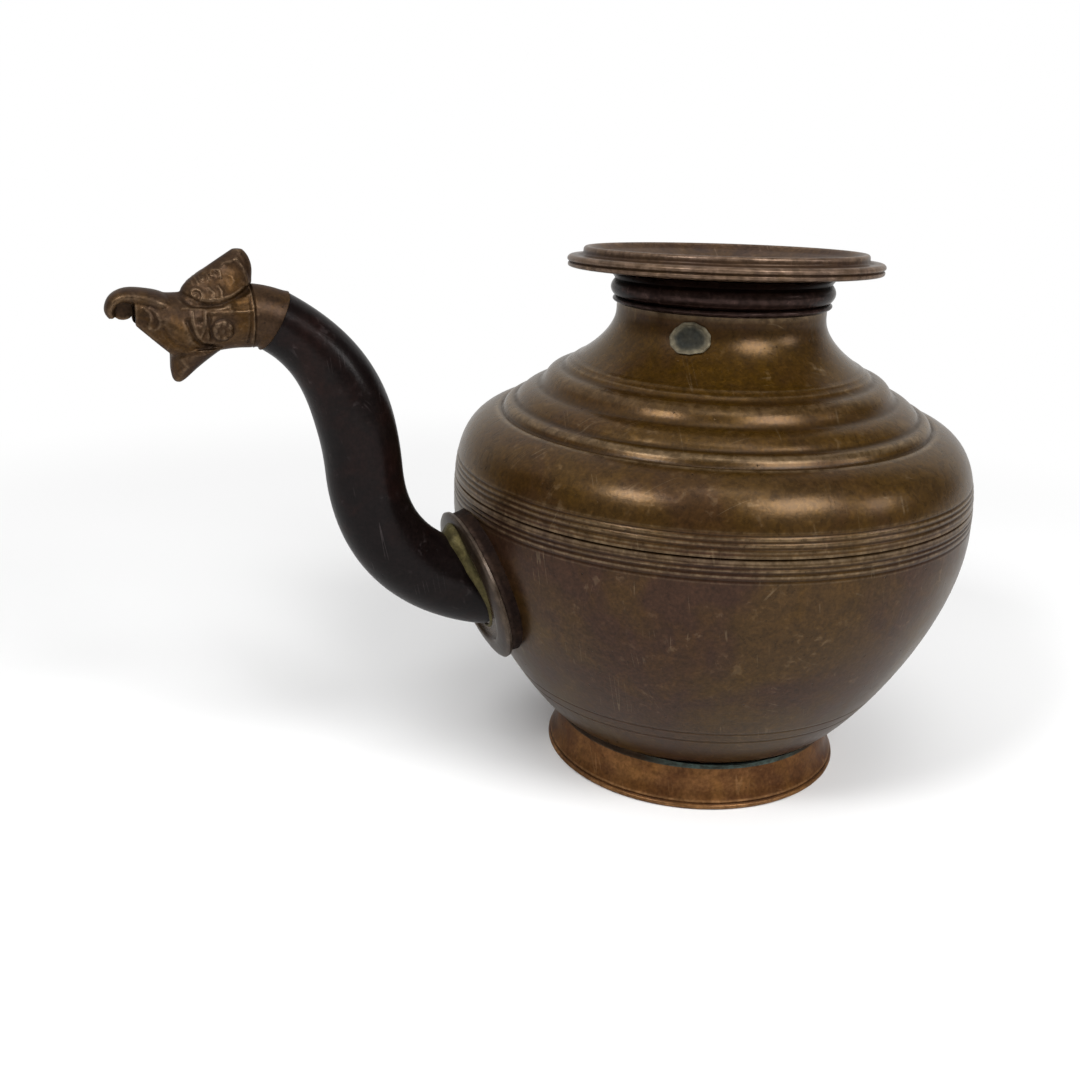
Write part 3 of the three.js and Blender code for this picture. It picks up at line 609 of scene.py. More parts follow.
        layers = (
            ("thick", self.cool),
            ("rubbed", self.warm),
            ("handled", self.warm),
            ("fleck", self.wear_and_highlight),
            ("scratch_up", self.wear_and_highlight),
            ("scratch_down", self.wear_and_highlight),
            # sharp edges lightened by wear and a painted highlight
            ("edge", self.wear_and_highlight),
            ("speck", self.dirt_and_shade),
            ("pit", self.dirt_and_shade),
            # lines and hollows darkened by dirt and painted shade
            ("grime_and_shade", self.dirt_and_shade),
            ("green", self.green),
        )
        for share, code in layers:
            inputs = {0: value[share], 6: colour, 7: linear(code)}
            colour = add(tree, "ShaderNodeMix", {"data_type": "RGBA"}, inputs).outputs[2]
        settings = {"data_type": "RGBA", "blend_type": "MULTIPLY"}
        colour = add(tree, "ShaderNodeMix", settings, {0: 1.0, 6: colour, 7: value["shade"]}).outputs[2]
        rough, height = self.roughness - self.smoothest, 0.0
        roughening = (
            ("cloud", 0.08),
            ("blotch", 0.12),
            ("mottle", 0.14),
            ("grime_and_shade", 0.25),
            ("pit", 0.25),
            ("green", 0.35),
            ("handled", -0.08),
        )
        for share, weight in roughening:
            inputs = {0: value[share], 1: weight, 2: rough}
            rough = add(tree, "ShaderNodeMath", {"operation": "MULTIPLY_ADD"}, inputs).outputs[0]
        reliefs = (
            ("mottle", 0.05),
            ("grain", 0.022),
            ("turned", 0.006 * self.turning),
            ("pit", -0.12),
            ("speck", -0.05),
        )
        for share, weight in reliefs:
            inputs = {0: value[share], 1: weight * self.relief, 2: height}
            height = add(tree, "ShaderNodeMath", {"operation": "MULTIPLY_ADD"}, inputs).outputs[0]
        bump = add(tree, "ShaderNodeBump", {}, {"Strength": 1.0, "Distance": MM, "Height": height})
        tree.links.new(colour, shader.inputs["Base Color"])
        tree.links.new(rough, shader.inputs["Roughness"])
        tree.links.new(bump.outputs[0], shader.inputs["Normal"])
        tree.links.new(bump.outputs[0], shader.inputs["Coat Normal"])
        shader.inputs["Coat Weight"].default_value = self.film
        shader.inputs["Coat Roughness"].default_value = self.film_roughness
        shader.inputs["Metallic"].default_value = self.metallic
        shader.inputs["Specular IOR Level"].default_value = self.specular
        shader.inputs["Specular Tint"].default_value = linear(self.edge_tint)
        return made


DULL_EDGE = "a8a49c"
UNTURNED = {"film": 0.0, "turning": 0.0, "scratches": 0.0}  # poured or pressed, and never rubbed


class Finish(Enum):
    """The pot's finishes: its old bronze in several states, the solders and the seal's wax."""

    # Turned bronze, brown from handling: dark and satin, with soft glints, and gold where it is rubbed
    BODY = AgedBronze(
        "turned_bronze_brown_patina", "3c2a14", "332018", "483106", "1a1008", "806e56"
    )
    # Turned bronze that hands lift: paler and greyer than the body, with duller glints
    MOUTH = AgedBronze(
        "turned_bronze_handled_rim", "4a3829", "3f2f26", "5a421f", "281b13", "857060",
        edge_tint=DULL_EDGE, film=0.14, dirt_and_shade_share=0.5,
    )
    # Turned bronze under a thick patina: nearly black, with a purple-brown cast
    COLLAR = AgedBronze(
        "turned_bronze_dark_patina", "1c0f08", "150b09", "2a1a08", "0b0605", "5a4641",
        roughness=0.25, edge_tint="8c8880", film=0.08, dirt_and_shade_share=0.4, flecks=0.05, pits=0.3,
    )
    # Turned bronze rich in copper: redder and lighter than the body, and clouded
    FOOT = AgedBronze(
        "turned_copper_foot", "644326", "4a2d18", "7a5426", "24150b", "94704c",
        edge_tint=DULL_EDGE, film=0.08, cloud_mm=16,
    )
    # Bronze under black lacquer: black with a reddish cast here and there, and a narrow grey shine
    SPOUT = AgedBronze(
        "black_lacquered_bronze_tube", "110b0a", "0e0909", "26110c", "060404", "5a5252",
        metallic=0.2, roughness=0.34, specular=0.03, edge_tint="c8c8c8",
        film=0.16, film_roughness=0.25, turning=0.0, scratches=0.15, flecks=0.1, relief=1.5,
    )
    # Bronze cast from wax and chased: brown on what stands out, dark in the recesses from dirt and
    # painted shade, hardly shiny
    HEAD = AgedBronze(
        "lost_wax_bronze_head", "42301e", "32241a", "3e2809", "150d08", "7a6651",
        metallic=0.6, roughness=0.42, edge_tint=DULL_EDGE, film=0.1, film_roughness=0.4,
        warm_share=0.5, dirt_and_shade_share=0.7, wear_and_highlight_share=0.35, cloud_mm=13, blotch_mm=6, mottle_mm=1.6,
        grain_mm=0.7, turning=0.0, scratches=0.0, relief=0.6,
    )
    # Turned bronze under a grey patina: greyer than the body, with brown where it is handled
    BOSS = AgedBronze(
        "turned_bronze_grey_patina", "32271d", "2a211b", "3c2a12", "1a110a", "75675a",
        edge_tint=DULL_EDGE, dirt_and_shade_share=0.3, wear_and_highlight_share=0.2, turning=0.4,
    )
    # Poured brass, never polished: olive yellow, lumpy and dull
    SOLDER = AgedBronze(
        "poured_brass_solder", "4d462c", "3d3725", "5f5838", "242012", "807a5a",
        roughness=0.5, relief=4.0, cloud_mm=9, blotch_mm=5, **UNTURNED,
    )
    # Old solder crust with rust, darkened as painted shadow in the gap under the plate: dark, rough and
    # matt
    CRUST_AND_SHADOW = AgedBronze(
        "solder_crust_with_rust_and_painted_shadow", "211712", "19110f", "33231a", "0e0907", "4a3c34",
        metallic=0.2, roughness=0.75, relief=5.0, cloud_mm=9, blotch_mm=5, **UNTURNED,
    )
    # Solder that has corroded: dull brown, and grey-green where the verdigris is thick
    VERDIGRIS = AgedBronze(
        "solder_with_verdigris", "2e2218", "241a12", "443323", "120c08", "5c5040",
        metallic=0.3, roughness=0.6, relief=3.0, cloud_mm=9, blotch_mm=5, green="4c5a55", **UNTURNED,
    )
    # Old wax, pressed: grey and smooth, without a shine, and tan along its rim
    SEAL = AgedBronze(
        "pressed_sealing_wax", "31302a", "2a2b28", "6b6250", "1f1d1a", "77705e",
        metallic=0.0, roughness=0.5, relief=2.0, cloud_mm=4, blotch_mm=3, warm_share=0.0, **UNTURNED,
    )


# The pot's sub-assemblies


@dataclass
class Lean:
    """The mouth's slight lean, which grows from the neck to the collar's top."""

    low: float
    high: float
    degrees: float = 3.2
    azimuth: float = 70.0  # its high side, in degrees from the spout towards the front

    def apply(self, form: bmesh.types.BMesh) -> None:
        """Raise or lower every point of a mesh by its share of the lean.

        Args:
            form: the mesh, in millimetres in the pot's frame.
        """
        slope, turn = math.tan(math.radians(self.degrees)), math.radians(self.azimuth)
        for vert in form.verts:
            t = min(max((vert.co.z - self.low) / (self.high - self.low), 0.0), 1.0)
            side = vert.co.x * math.cos(turn) + vert.co.y * math.sin(turn)
            vert.co.z -= t * t * (3 - 2 * t) * slope * side


@dataclass
class Body:
    """The two castings of the body: a bowl, and a terraced shoulder with the neck."""

    wall: float = 2.4
    bottom_z: float = 9.0
    base_r: float = 58.7
    base_h: float = 11.9
    belly_r: float = 97.4
    bowl_h: float = 82.1
    seam_h: float = 10.4
    lap: float = 4.5  # height of the bowl's tongue inside the upper casting
    gap: float = 0.3  # between two pieces that touch
    shoulder_r: float = 80.2
    shoulder_h: float = 35.0
    neck_r: float = 38.2
    neck_h: float = 17.4
    neck_foot: Point = (3.2, 1.6)
    collar_up: float = 3.2
    collar_seat: float = 0.8  # how deep the neck is turned down under the collar
    collar_h: float = 10.4
    tread_crown: float = 0.9
    line_depth: float = 0.2
    line_w: float = 0.55
    grooves: tuple[float, ...] = (7.3, 5.3, 3.4, -2.95, -4.6, -7.0)  # above the joint
    ridges: tuple[float, ...] = (6.3, 4.4, 2.2, -2.1, -3.8, -5.8)
    base_lines: Point = (14.6, 19.4)
    terraces: tuple[tuple[Point, Point], ...] = (
        ((4.0, 2.8), (1.2, 1.1)),
        ((7.8, 4.6), (2.6, 3.3)),
        ((5.8, 3.3), (2.6, 2.4)),
    )

    @property
    def base_z(self) -> float:
        """Height where the side starts."""
        return self.bottom_z + self.base_h

    @property
    def belly_z(self) -> float:
        """Height of the widest level."""
        return self.base_z + self.bowl_h

    @property
    def seam_z(self) -> float:
        """Height of the joint of the two castings."""
        return self.belly_z + self.seam_h

    @property
    def shoulder_z(self) -> float:
        """Height of the terraces' outer edge."""
        return self.belly_z + self.shoulder_h

    def underside(self) -> list[Point]:
        """Draw the rounded bottom.

        Returns:
            Its points from the axis out to the base.
        """
        control = (self.base_r * 0.76, self.bottom_z)
        ends = ((0.0, self.bottom_z), (self.base_r, self.base_z))
        first, second = (
            tuple(end[k] + (control[k] - end[k]) * 2 / 3 for k in (0, 1)) for end in ends
        )
        return bezier(ends[0], first, second, ends[1], 18)

    def bowl_side(self) -> list[Point]:
        """Draw the lower part of the side.

        Returns:
            Its points from the base up to the widest level.
        """
        run = self.belly_r - self.base_r
        return bezier(
            (self.base_r, self.base_z),
            (self.base_r + run * 0.27, self.base_z + self.bowl_h * 0.11),
            (self.belly_r, self.belly_z - self.bowl_h * 0.39),
            (self.belly_r, self.belly_z),
            40,
        )

    def shoulder(self) -> list[Point]:
        """Draw the upper part of the side.

        Returns:
            Its points from the widest level up to the terraces.
        """
        run = self.belly_r - self.shoulder_r
        return bezier(
            (self.belly_r, self.belly_z),
            (self.belly_r, self.belly_z + self.shoulder_h * 0.47),
            (self.shoulder_r + run * 0.92, self.shoulder_z - self.shoulder_h * 0.1),
            (self.shoulder_r, self.shoulder_z),
            30,
        )

    def rising(self) -> list[Point]:
        """The outside from the base up to the terraces."""
        return [*self.bowl_side()[1:], *self.shoulder()[1:]]

    def scored(
        self, points: Sequence[Point], grooves: Sequence[float], ridges: Sequence[float]
    ) -> list[Point]:
        """Turn lines into an outline.

        Args:
            points: the outline.
            grooves: the heights of its grooves.
            ridges: the heights of the ridges between them.

        Returns:
            The outline with a rounded groove or ridge at each height.
        """
        fine = []
        lines = [(height, -1.0) for height in grooves] + [(height, 0.5) for height in ridges]
        for radius, height in refined(points, 0.22):
            near = min(abs(height - line) for line, _ in lines)
            if near < 3 * self.line_w or not fine or math.dist((radius, height), fine[-1]) > 1.6:
                shares = ((way, (height - line) / self.line_w) for line, way in lines)
                out = sum(way * math.exp(-2 * off**2) for way, off in shares)
                fine.append((min(radius + self.line_depth * out, self.belly_r), height))
        return fine

    def lower_outline(self) -> list[Point]:
        """Draw the bowl, with the tongue at its top edge.

        Returns:
            Its closed outline.
        """
        side = [p for p in [*self.underside(), *self.rising()] if p[1] < self.seam_z]
        side.append((radius_at(self.shoulder(), self.seam_z), self.seam_z))
        grooves = [self.base_z + up for up in self.base_lines]
        grooves += [self.seam_z + h for h in self.grooves if h < 0]
        ridges = [self.seam_z + h for h in self.ridges if h < 0]
        inner_r = side[-1][0] - self.wall
        joint_r = inner_r + self.wall / 2 - self.gap / 2
        tongue_z = self.seam_z + self.lap
        return [
            *self.scored(side, grooves, ridges),
            (joint_r, self.seam_z),
            (joint_r, tongue_z),
            (inner_r, tongue_z),
            *reversed(offset([*self.underside(), *self.bowl_side()[1:]], self.wall)),
        ]

    def terrace_points(self) -> list[Point]:
        """Draw the rounded treads and risers.

        Returns:
            Their points from the shoulder's edge in to the neck's foot.
        """
        points = [
            (self.shoulder_r - 0.35, self.shoulder_z - 0.42),
            (self.shoulder_r - 0.8, self.shoulder_z - 0.1),
            (self.shoulder_r - 1.1, self.shoulder_z + 0.5),
        ]
        for tread, riser in self.terraces:
            start = points[-1]
            step = (start[0] - tread[0], start[1] + tread[1])
            points += crowned(start, step, self.tread_crown, 10)
            foot = (step[0] - riser[0], step[1] + riser[1])
            points += crowned(step, foot, -0.25, 5)
        return points

    def neck(self) -> list[Point]:
        """Draw the neck's foot and its hollow curve.

        Returns:
            Their points up to the collar.
        """
        crown_r, crown_z = self.terrace_points()[-1]
        foot_r, foot_z = crown_r - self.neck_foot[0], crown_z + self.neck_foot[1]
        top_z = foot_z + self.neck_h
        ridge = [
            (crown_r - 0.25, crown_z - 0.35),
            (crown_r - 0.8, crown_z - 0.15),
            (crown_r - 1.3, crown_z + 0.75),
            (crown_r - 2.0, crown_z + 1.15),
            (foot_r + 0.35, foot_z - 0.35),
        ]
        curve = bezier(
            (foot_r, foot_z),
            (foot_r - (foot_r - self.neck_r) * 0.41, foot_z + self.neck_h * 0.2),
            (self.neck_r, top_z - self.neck_h * 0.4),
            (self.neck_r, top_z),
            20,
        )
        return ridge + curve

    @property
    def neck_z(self) -> float:
        """Height of the neck's narrowest point."""
        return self.neck()[-1][1]

    @property
    def neck_top_z(self) -> float:
        """Height of the collar's top."""
        return self.neck_z + self.collar_up + self.collar_h

    def lean(self) -> Lean:
        """The lean of what stands on the neck."""
        return Lean(low=self.neck_z - 5.0, high=self.neck_top_z)

    def upper_outline(self) -> list[Point]:
        """Draw the shoulder and the neck, lapping over the bowl's tongue.

        Returns:
            Their closed outline.
        """
        shoulder = self.shoulder()
        seam_r = radius_at(shoulder, self.seam_z)
        start_z, lap_z = self.seam_z + self.gap, self.seam_z + self.lap + self.gap
        outside = [(seam_r, start_z), *[p for p in shoulder if p[1] > self.seam_z + 0.5]]
        grooves, ridges = (
            [self.seam_z + h for h in group if h > 0] for group in (self.grooves, self.ridges)
        )
        terraces, neck = self.terrace_points(), self.neck()
        seat_z, seat_r = self.neck_z + self.collar_up - self.gap, self.neck_r - self.collar_seat
        inner_r = self.neck_r - self.wall
        inside = [p for p in shoulder if p[1] > self.seam_z + 7] + terraces[10::8] + neck[6:]
        joint_r = seam_r - self.wall / 2 + self.gap / 2
        return [
            *self.scored(outside, grooves, ridges),
            *eased(terraces + neck, 1.0),
            (self.neck_r, seat_z),
            (seat_r, seat_z),
            (seat_r, self.neck_top_z),
            (inner_r, self.neck_top_z),
            *reversed(offset(inside, self.wall)),
            (seam_r - self.wall, lap_z),
            (joint_r, lap_z),
            (joint_r, start_z),
        ]

    def build(self, bench: Bench, bore: bpy.types.Object) -> None:
        """Make the bowl, with the spout's water way cut through it, and the upper casting.

        Args:
            bench: where the pieces go.
            bore: the solid that the water way takes out of the bowl.
        """
        bowl = bench.object_of(turned(self.lower_outline()), "bowl_casting")
        cutter = bowl.modifiers.new("water_way", "BOOLEAN")
        cutter.operation, cutter.solver, cutter.object = "DIFFERENCE", "EXACT", bore
        applied(bowl)
        bench.finish(bowl, "lower_bowl", "body_bronze", Finish.BODY)
        form = turned(self.upper_outline())
        handled = form.verts.layers.float.new("handled")
        neck_z = self.neck_z
        levels = (
            (self.seam_z, 0.15),
            (self.seam_z + 8, 0.45),
            (self.shoulder_z, 0.5),
            (neck_z - 14, 1.0),
            (neck_z - 6, 0.9),
            (neck_z, 0.35),
        )
        for vert in form.verts:
            vert[handled] = float(np.interp(vert.co.z, *zip(*levels)))
        self.lean().apply(form)
        bench.finish(bench.object_of(form, "shoulder_casting"), "upper_body", "body_bronze", Finish.BODY)


def applied(made: bpy.types.Object) -> None:
    """Replace an object's mesh by what its modifiers give, and drop them.

    Args:
        made: the object.
    """
    graph = bpy.context.evaluated_depsgraph_get()
    graph.update()
    mesh = bpy.data.meshes.new_from_object(made.evaluated_get(graph), depsgraph=graph)
    made.modifiers.clear()
    made.data = mesh


@dataclass
class Mouth:
    """The dark beaded collar round the neck, and the flanged mouth above it."""

    body: Body
    collar_wall: float = 2.2
    lip_bead_h: float = 1.7
    bead_h: float = 5.6
    bead: float = 1.0
    flare: float = 2.6
    flange_r: float = 57.0
    flange_h: float = 5.6
    slope: float = 1.2
    edge_bead_h: float = 1.8
    lip_r: float = 51.3
    lip_h: float = 3.0
    lip_w: float = 2.4
    spigot: float = 5.0

    def collar_outline(self) -> list[Point]:
        """Draw the collar: a small bead, a dark line, a broad bead and a spreading top.

        Returns:
            Its closed outline.
        """
        low, high = self.body.neck_z + self.body.collar_up, self.body.neck_top_z
        inner = self.body.neck_r - 0.5
        waist = self.body.neck_r - self.body.collar_seat + self.collar_wall
        bead_z = low + self.lip_bead_h + 0.5
        points = [(inner, low), (waist - 0.7, low)]
        points += crowned((waist - 0.5, low), (waist - 0.5, low + self.lip_bead_h), 0.75, 8)
        points += [(waist - 0.95, low + self.lip_bead_h + 0.25)]
        neck_z = bead_z + self.bead_h
        points += [(waist - 0.3, bead_z)]
        points += crowned((waist - 0.3, bead_z), (waist - 0.1, neck_z), self.bead + 0.3, 12)
        points += [(waist - 0.35, neck_z + 0.35)]
        points += crowned((waist - 0.35, neck_z + 0.35), (waist + self.flare, high), -0.5, 6)
        return [*points, (inner, high)]

    def rim_outline(self) -> list[Point]:
        """Draw the flange with its edge bead, the raised lip, the funnel and the spigot.

        Returns:
            Their closed outline.
        """
        low = self.body.neck_top_z + self.body.gap
        top, edge = low + self.flange_h, low + self.slope
        lip_top, lip_inner = top + self.lip_h, self.lip_r - self.lip_w
        spigot_r = self.body.neck_r - self.body.wall - self.body.gap
        corners = [
            (spigot_r, low),
            (self.body.neck_r + 4.0, low),
            (self.flange_r - 1.6, edge),
            (self.flange_r - 0.3, edge + 0.35),
            (self.flange_r - 0.2, edge + 1.5),
            (self.flange_r - 0.9, edge + self.edge_bead_h),
            (self.flange_r - 0.5, edge + self.edge_bead_h + 0.35),
            (self.flange_r, edge + self.edge_bead_h + 0.8),
            (self.flange_r, top - 1.0),
            (self.flange_r - 0.9, top - 0.1),
            (self.lip_r + 0.9, top),
            (self.lip_r, top + 0.5),
            (self.lip_r - 0.1, lip_top - 0.7),
            (self.lip_r - 0.8, lip_top),
            (lip_inner + 0.6, lip_top),
            (lip_inner - 2.0, lip_top - 2.0),
            (spigot_r - 1.2, low + 1.2),
            (spigot_r - 1.2, low - self.spigot),
            (spigot_r, low - self.spigot),
        ]
        return rounded(corners, 0.55)

    def build(self, bench: Bench) -> None:
        """Make the collar and the mouth, both leaning with the neck's top.

        Args:
            bench: where the pieces go.
        """
        lean = self.body.lean()
        for points, name, node, slot, finish in (
            (self.collar_outline(), "collar", "neck_collar", "collar_bronze", Finish.COLLAR),
            (self.rim_outline(), "mouth_casting", "mouth_rim", "mouth_bronze", Finish.MOUTH),
        ):
            form = turned(refined(points, 1.2))
            lean.apply(form)
            bench.finish(bench.object_of(form, name), node, slot, finish)


@dataclass
class Foot:
    """The flared foot ring and the solder between it and the body."""

    body: Body
    radius: float = 58.0
    waist_r: float = 54.6
    wall: float = 2.8
    flare_h: float = 9.0
    top_r: float = 54.2
    groove_z: float = 2.2
    solder: float = 2.6
    swell_turn: float = -104.0  # where the solder swells most, in degrees from +X

    def seat_z(self, radius: float) -> float:
        """Height of the body's underside at a radius."""
        return float(np.interp(radius, *zip(*self.body.underside(), *self.body.rising()[:21])))

    def ring_outline(self) -> list[Point]:
        """Draw the hollow foot, with a turned groove above the floor.

        Returns:
            Its closed outline.
        """
        top_z, inner_r = self.seat_z(self.top_r) - self.body.gap, self.top_r - self.wall
        corners = [
            (self.radius - self.wall - 0.6, 0.0),
            (self.radius - 0.9, 0.0),
            (self.radius, 0.8),
            (self.radius - 0.25, self.groove_z - 0.45),
            (self.radius - 0.95, self.groove_z),
            (self.radius - 0.75, self.groove_z + 0.5),
        ]
        flare = bezier(
            (self.radius - 0.85, self.groove_z + 0.8),
            (self.radius - 1.9, self.flare_h * 0.52),
            (self.waist_r + 0.7, self.flare_h * 0.7),
            (self.waist_r + 0.35, self.flare_h),
            12,
        )
        top = [
            (self.top_r, top_z),
            (inner_r, self.seat_z(inner_r) - self.body.gap),
            (self.waist_r - self.wall, self.flare_h * 0.7),
        ]
        return [*rounded(corners, 0.35), *flare, *refined([flare[-1], *top], 1.5)[1:]]

    def solder_form(self) -> bmesh.types.BMesh:
        """Shape the fillet, with a lumpy outer face that swells towards the front right.

        Returns:
            The fillet's mesh.
        """
        low_r, out_r = self.top_r + 0.2, self.top_r + self.solder
        start = (low_r, self.seat_z(self.top_r) - self.solder * 0.95)
        outline = [
            start,
            *crowned(start, (out_r, self.seat_z(out_r) + 0.1), -0.5, 5),
            (low_r, self.seat_z(low_r) + 0.1),
        ]
        form = turned(refined(outline, 0.7), 360)
        green = form.verts.layers.float.new("verdigris")
        for vert in form.verts:
            turn = math.atan2(vert.co.y, vert.co.x)
            swell = 0.5 + 0.5 * math.cos(turn - math.radians(self.swell_turn))
            lumps = sum(math.sin(turn * n + n * n) / n for n in (5, 9, 17, 31, 53))
            vert[green] = 1.2 * swell**16 * (1 + 0.5 * lumps)
            radius = math.hypot(vert.co.x, vert.co.y)
            out = max(radius - low_r, 0.0) / self.solder
            push = out * (1.1 * swell**12 + 0.55 * lumps * (0.3 + swell**4) - 0.25)
            vert.co.xy *= 1 + push / radius
            vert.co.z -= 0.7 * max(push, 0.0) * (0.4 + swell)
        return form

    def build(self, bench: Bench) -> None:
        """Make the foot ring and its solder.

        Args:
            bench: where the pieces go.
        """
        ring = bench.object_of(turned(self.ring_outline()), "foot_casting")
        bench.finish(ring, "foot_ring", "foot_copper", Finish.FOOT)
        solder = bench.object_of(self.solder_form(), "foot_fillet")
        bench.finish(solder, "foot_solder", "verdigris_solder", Finish.VERDIGRIS, 60)


@dataclass
class Boss:
    """The dished plate on the body that carries the spout, with the crust behind it, whose dark finish
    paints the shadow gap under the plate's edge.
    """

    body: Body
    drop: float = 23.0
    radius: float = 28.5
    thick: float = 1.9
    lift: float = 0.6  # of the plate's back above the body
    band_w: float = 7.6
    band_h: float = 1.2
    bore_r: float = 11.6
    crust_short: float = 1.2
    crust_w: float = 9.4

    @property
    def centre(self) -> Point:
        """The boss's centre on the body, as distance out and height."""
        height = self.body.belly_z - self.drop
        return (radius_at(self.body.rising(), height), height)

    @property
    def tilt(self) -> float:
        """Find how the body slopes at the boss.

        Returns:
            The slope, in radians.
        """
        reach = 4.0
        radii = [radius_at(self.body.rising(), self.centre[1] + way * reach) for way in (-1, 1)]
        return math.atan2(radii[1] - radii[0], 2 * reach)

    def place(self) -> Matrix:
        """The matrix that takes a turned piece's axis to the boss's."""
        out, up = self.centre
        return Matrix.Translation((-out, 0, up)) @ Matrix.Rotation(-math.pi / 2 - self.tilt, 4, "Y")

    def from_face(self, out: float, up: float) -> Vector:
        """A point of the spout's plane, from distances along the boss's axis and up its face."""
        cos, sin = math.cos(self.tilt), math.sin(self.tilt)
        return self.from_centre(out * cos + up * sin, up * cos - out * sin)

    def from_centre(self, out: float, up: float) -> Vector:
        """A point of the spout's plane, from level and upright distances."""
        return Vector((-self.centre[0] - out, 0, self.centre[1] + up))

    @property
    def floor(self) -> float:
        """Height of the recess's floor above the body."""
        return self.lift + self.thick

    def plate_outline(self) -> list[Point]:
        """Draw the plate with its rounded, slightly domed outer band.

        Returns:
            Its closed outline.
        """
        edge, band, floor = self.radius, self.floor + self.band_h, self.floor
        inner = edge - self.band_w
        points = [(self.bore_r, self.lift), (edge - 0.9, self.lift)]
        points += [(edge - 0.15, self.lift + 0.35), (edge, floor - 0.6), (edge - 0.7, floor)]
        points += crowned((edge - 0.7, floor), (inner + 0.7, band), 0.3, 8)
        points += [(inner + 0.15, band - 0.3), (inner - 0.25, floor + 0.2), (inner - 0.9, floor)]
        points += [(self.bore_r, floor)]
        return refined(points, 1.6)

    def crust_form(self) -> bmesh.types.BMesh:
        """Shape the ragged ring of crust between the plate and the round body.

        Returns:
            The crust's mesh.
        """
        outer, inner = self.radius - self.crust_short, self.radius - self.crust_short - self.crust_w
        top = self.lift - 0.05
        outline = [(inner, -9), (outer, -9), (outer + 0.3, -4), (outer, -0.5), (outer - 0.4, top)]
        form = turned(refined([*outline, (inner, top)], 1.0), 160)
        for vert in form.verts:
            turn, wave = math.atan2(vert.co.y, vert.co.x), vert.co.z * 1.3
            lumps = sum(math.sin(turn * n + 1.7 * n + wave) / n**0.8 for n in (7, 13, 23, 41, 67))
            out = max(math.hypot(vert.co.x, vert.co.y) - outer + 1.5, 0.0) / 1.5
            vert.co.xy *= 1 + 0.015 * out * (lumps - 0.6)
        bmesh.ops.transform(form, matrix=self.place(), verts=form.verts)
        side = self.body.rising()
        for vert in form.verts:
            radius = math.hypot(vert.co.x, vert.co.y)
            least = radius_at(side, vert.co.z) - 0.8
            if radius < least:
                vert.co.xy *= least / radius
        return form

    def bore(self, bench: Bench) -> bpy.types.Object:
        """Make the solid that the water way takes out of the bowl's wall.

        Args:
            bench: where it is made.

        Returns:
            The solid, hidden from the render.
        """
        form = bmesh.new()
        size = {"radius1": self.bore_r, "radius2": self.bore_r, "depth": 2 * self.radius}
        bmesh.ops.create_cone(form, cap_ends=True, segments=64, **size)
        bmesh.ops.transform(form, matrix=self.place(), verts=form.verts)
        made = bench.object_of(form, "water_way")
        made.hide_render = True
        return made

    def build(self, bench: Bench) -> None:
        """Make the plate and its crust.

        Args:
            bench: where the pieces go.
        """
        form = turned(self.plate_outline(), 128)
        recess = form.verts.layers.float.new("handled")
        for vert in form.verts:
            vert[recess] = float(math.hypot(vert.co.x, vert.co.y) < self.radius - self.band_w)
        bmesh.ops.transform(form, matrix=self.place(), verts=form.verts)
        plate = bench.object_of(form, "boss_plate")
        bench.finish(plate, "spout_boss", "boss_bronze", Finish.BOSS)
        # the crust's dark finish paints the shadow in the gap under the plate's edge
        crust = bench.object_of(self.crust_form(), "boss_crust")
        bench.finish(crust, "boss_solder", "crust_solder", Finish.CRUST_AND_SHADOW, 70)


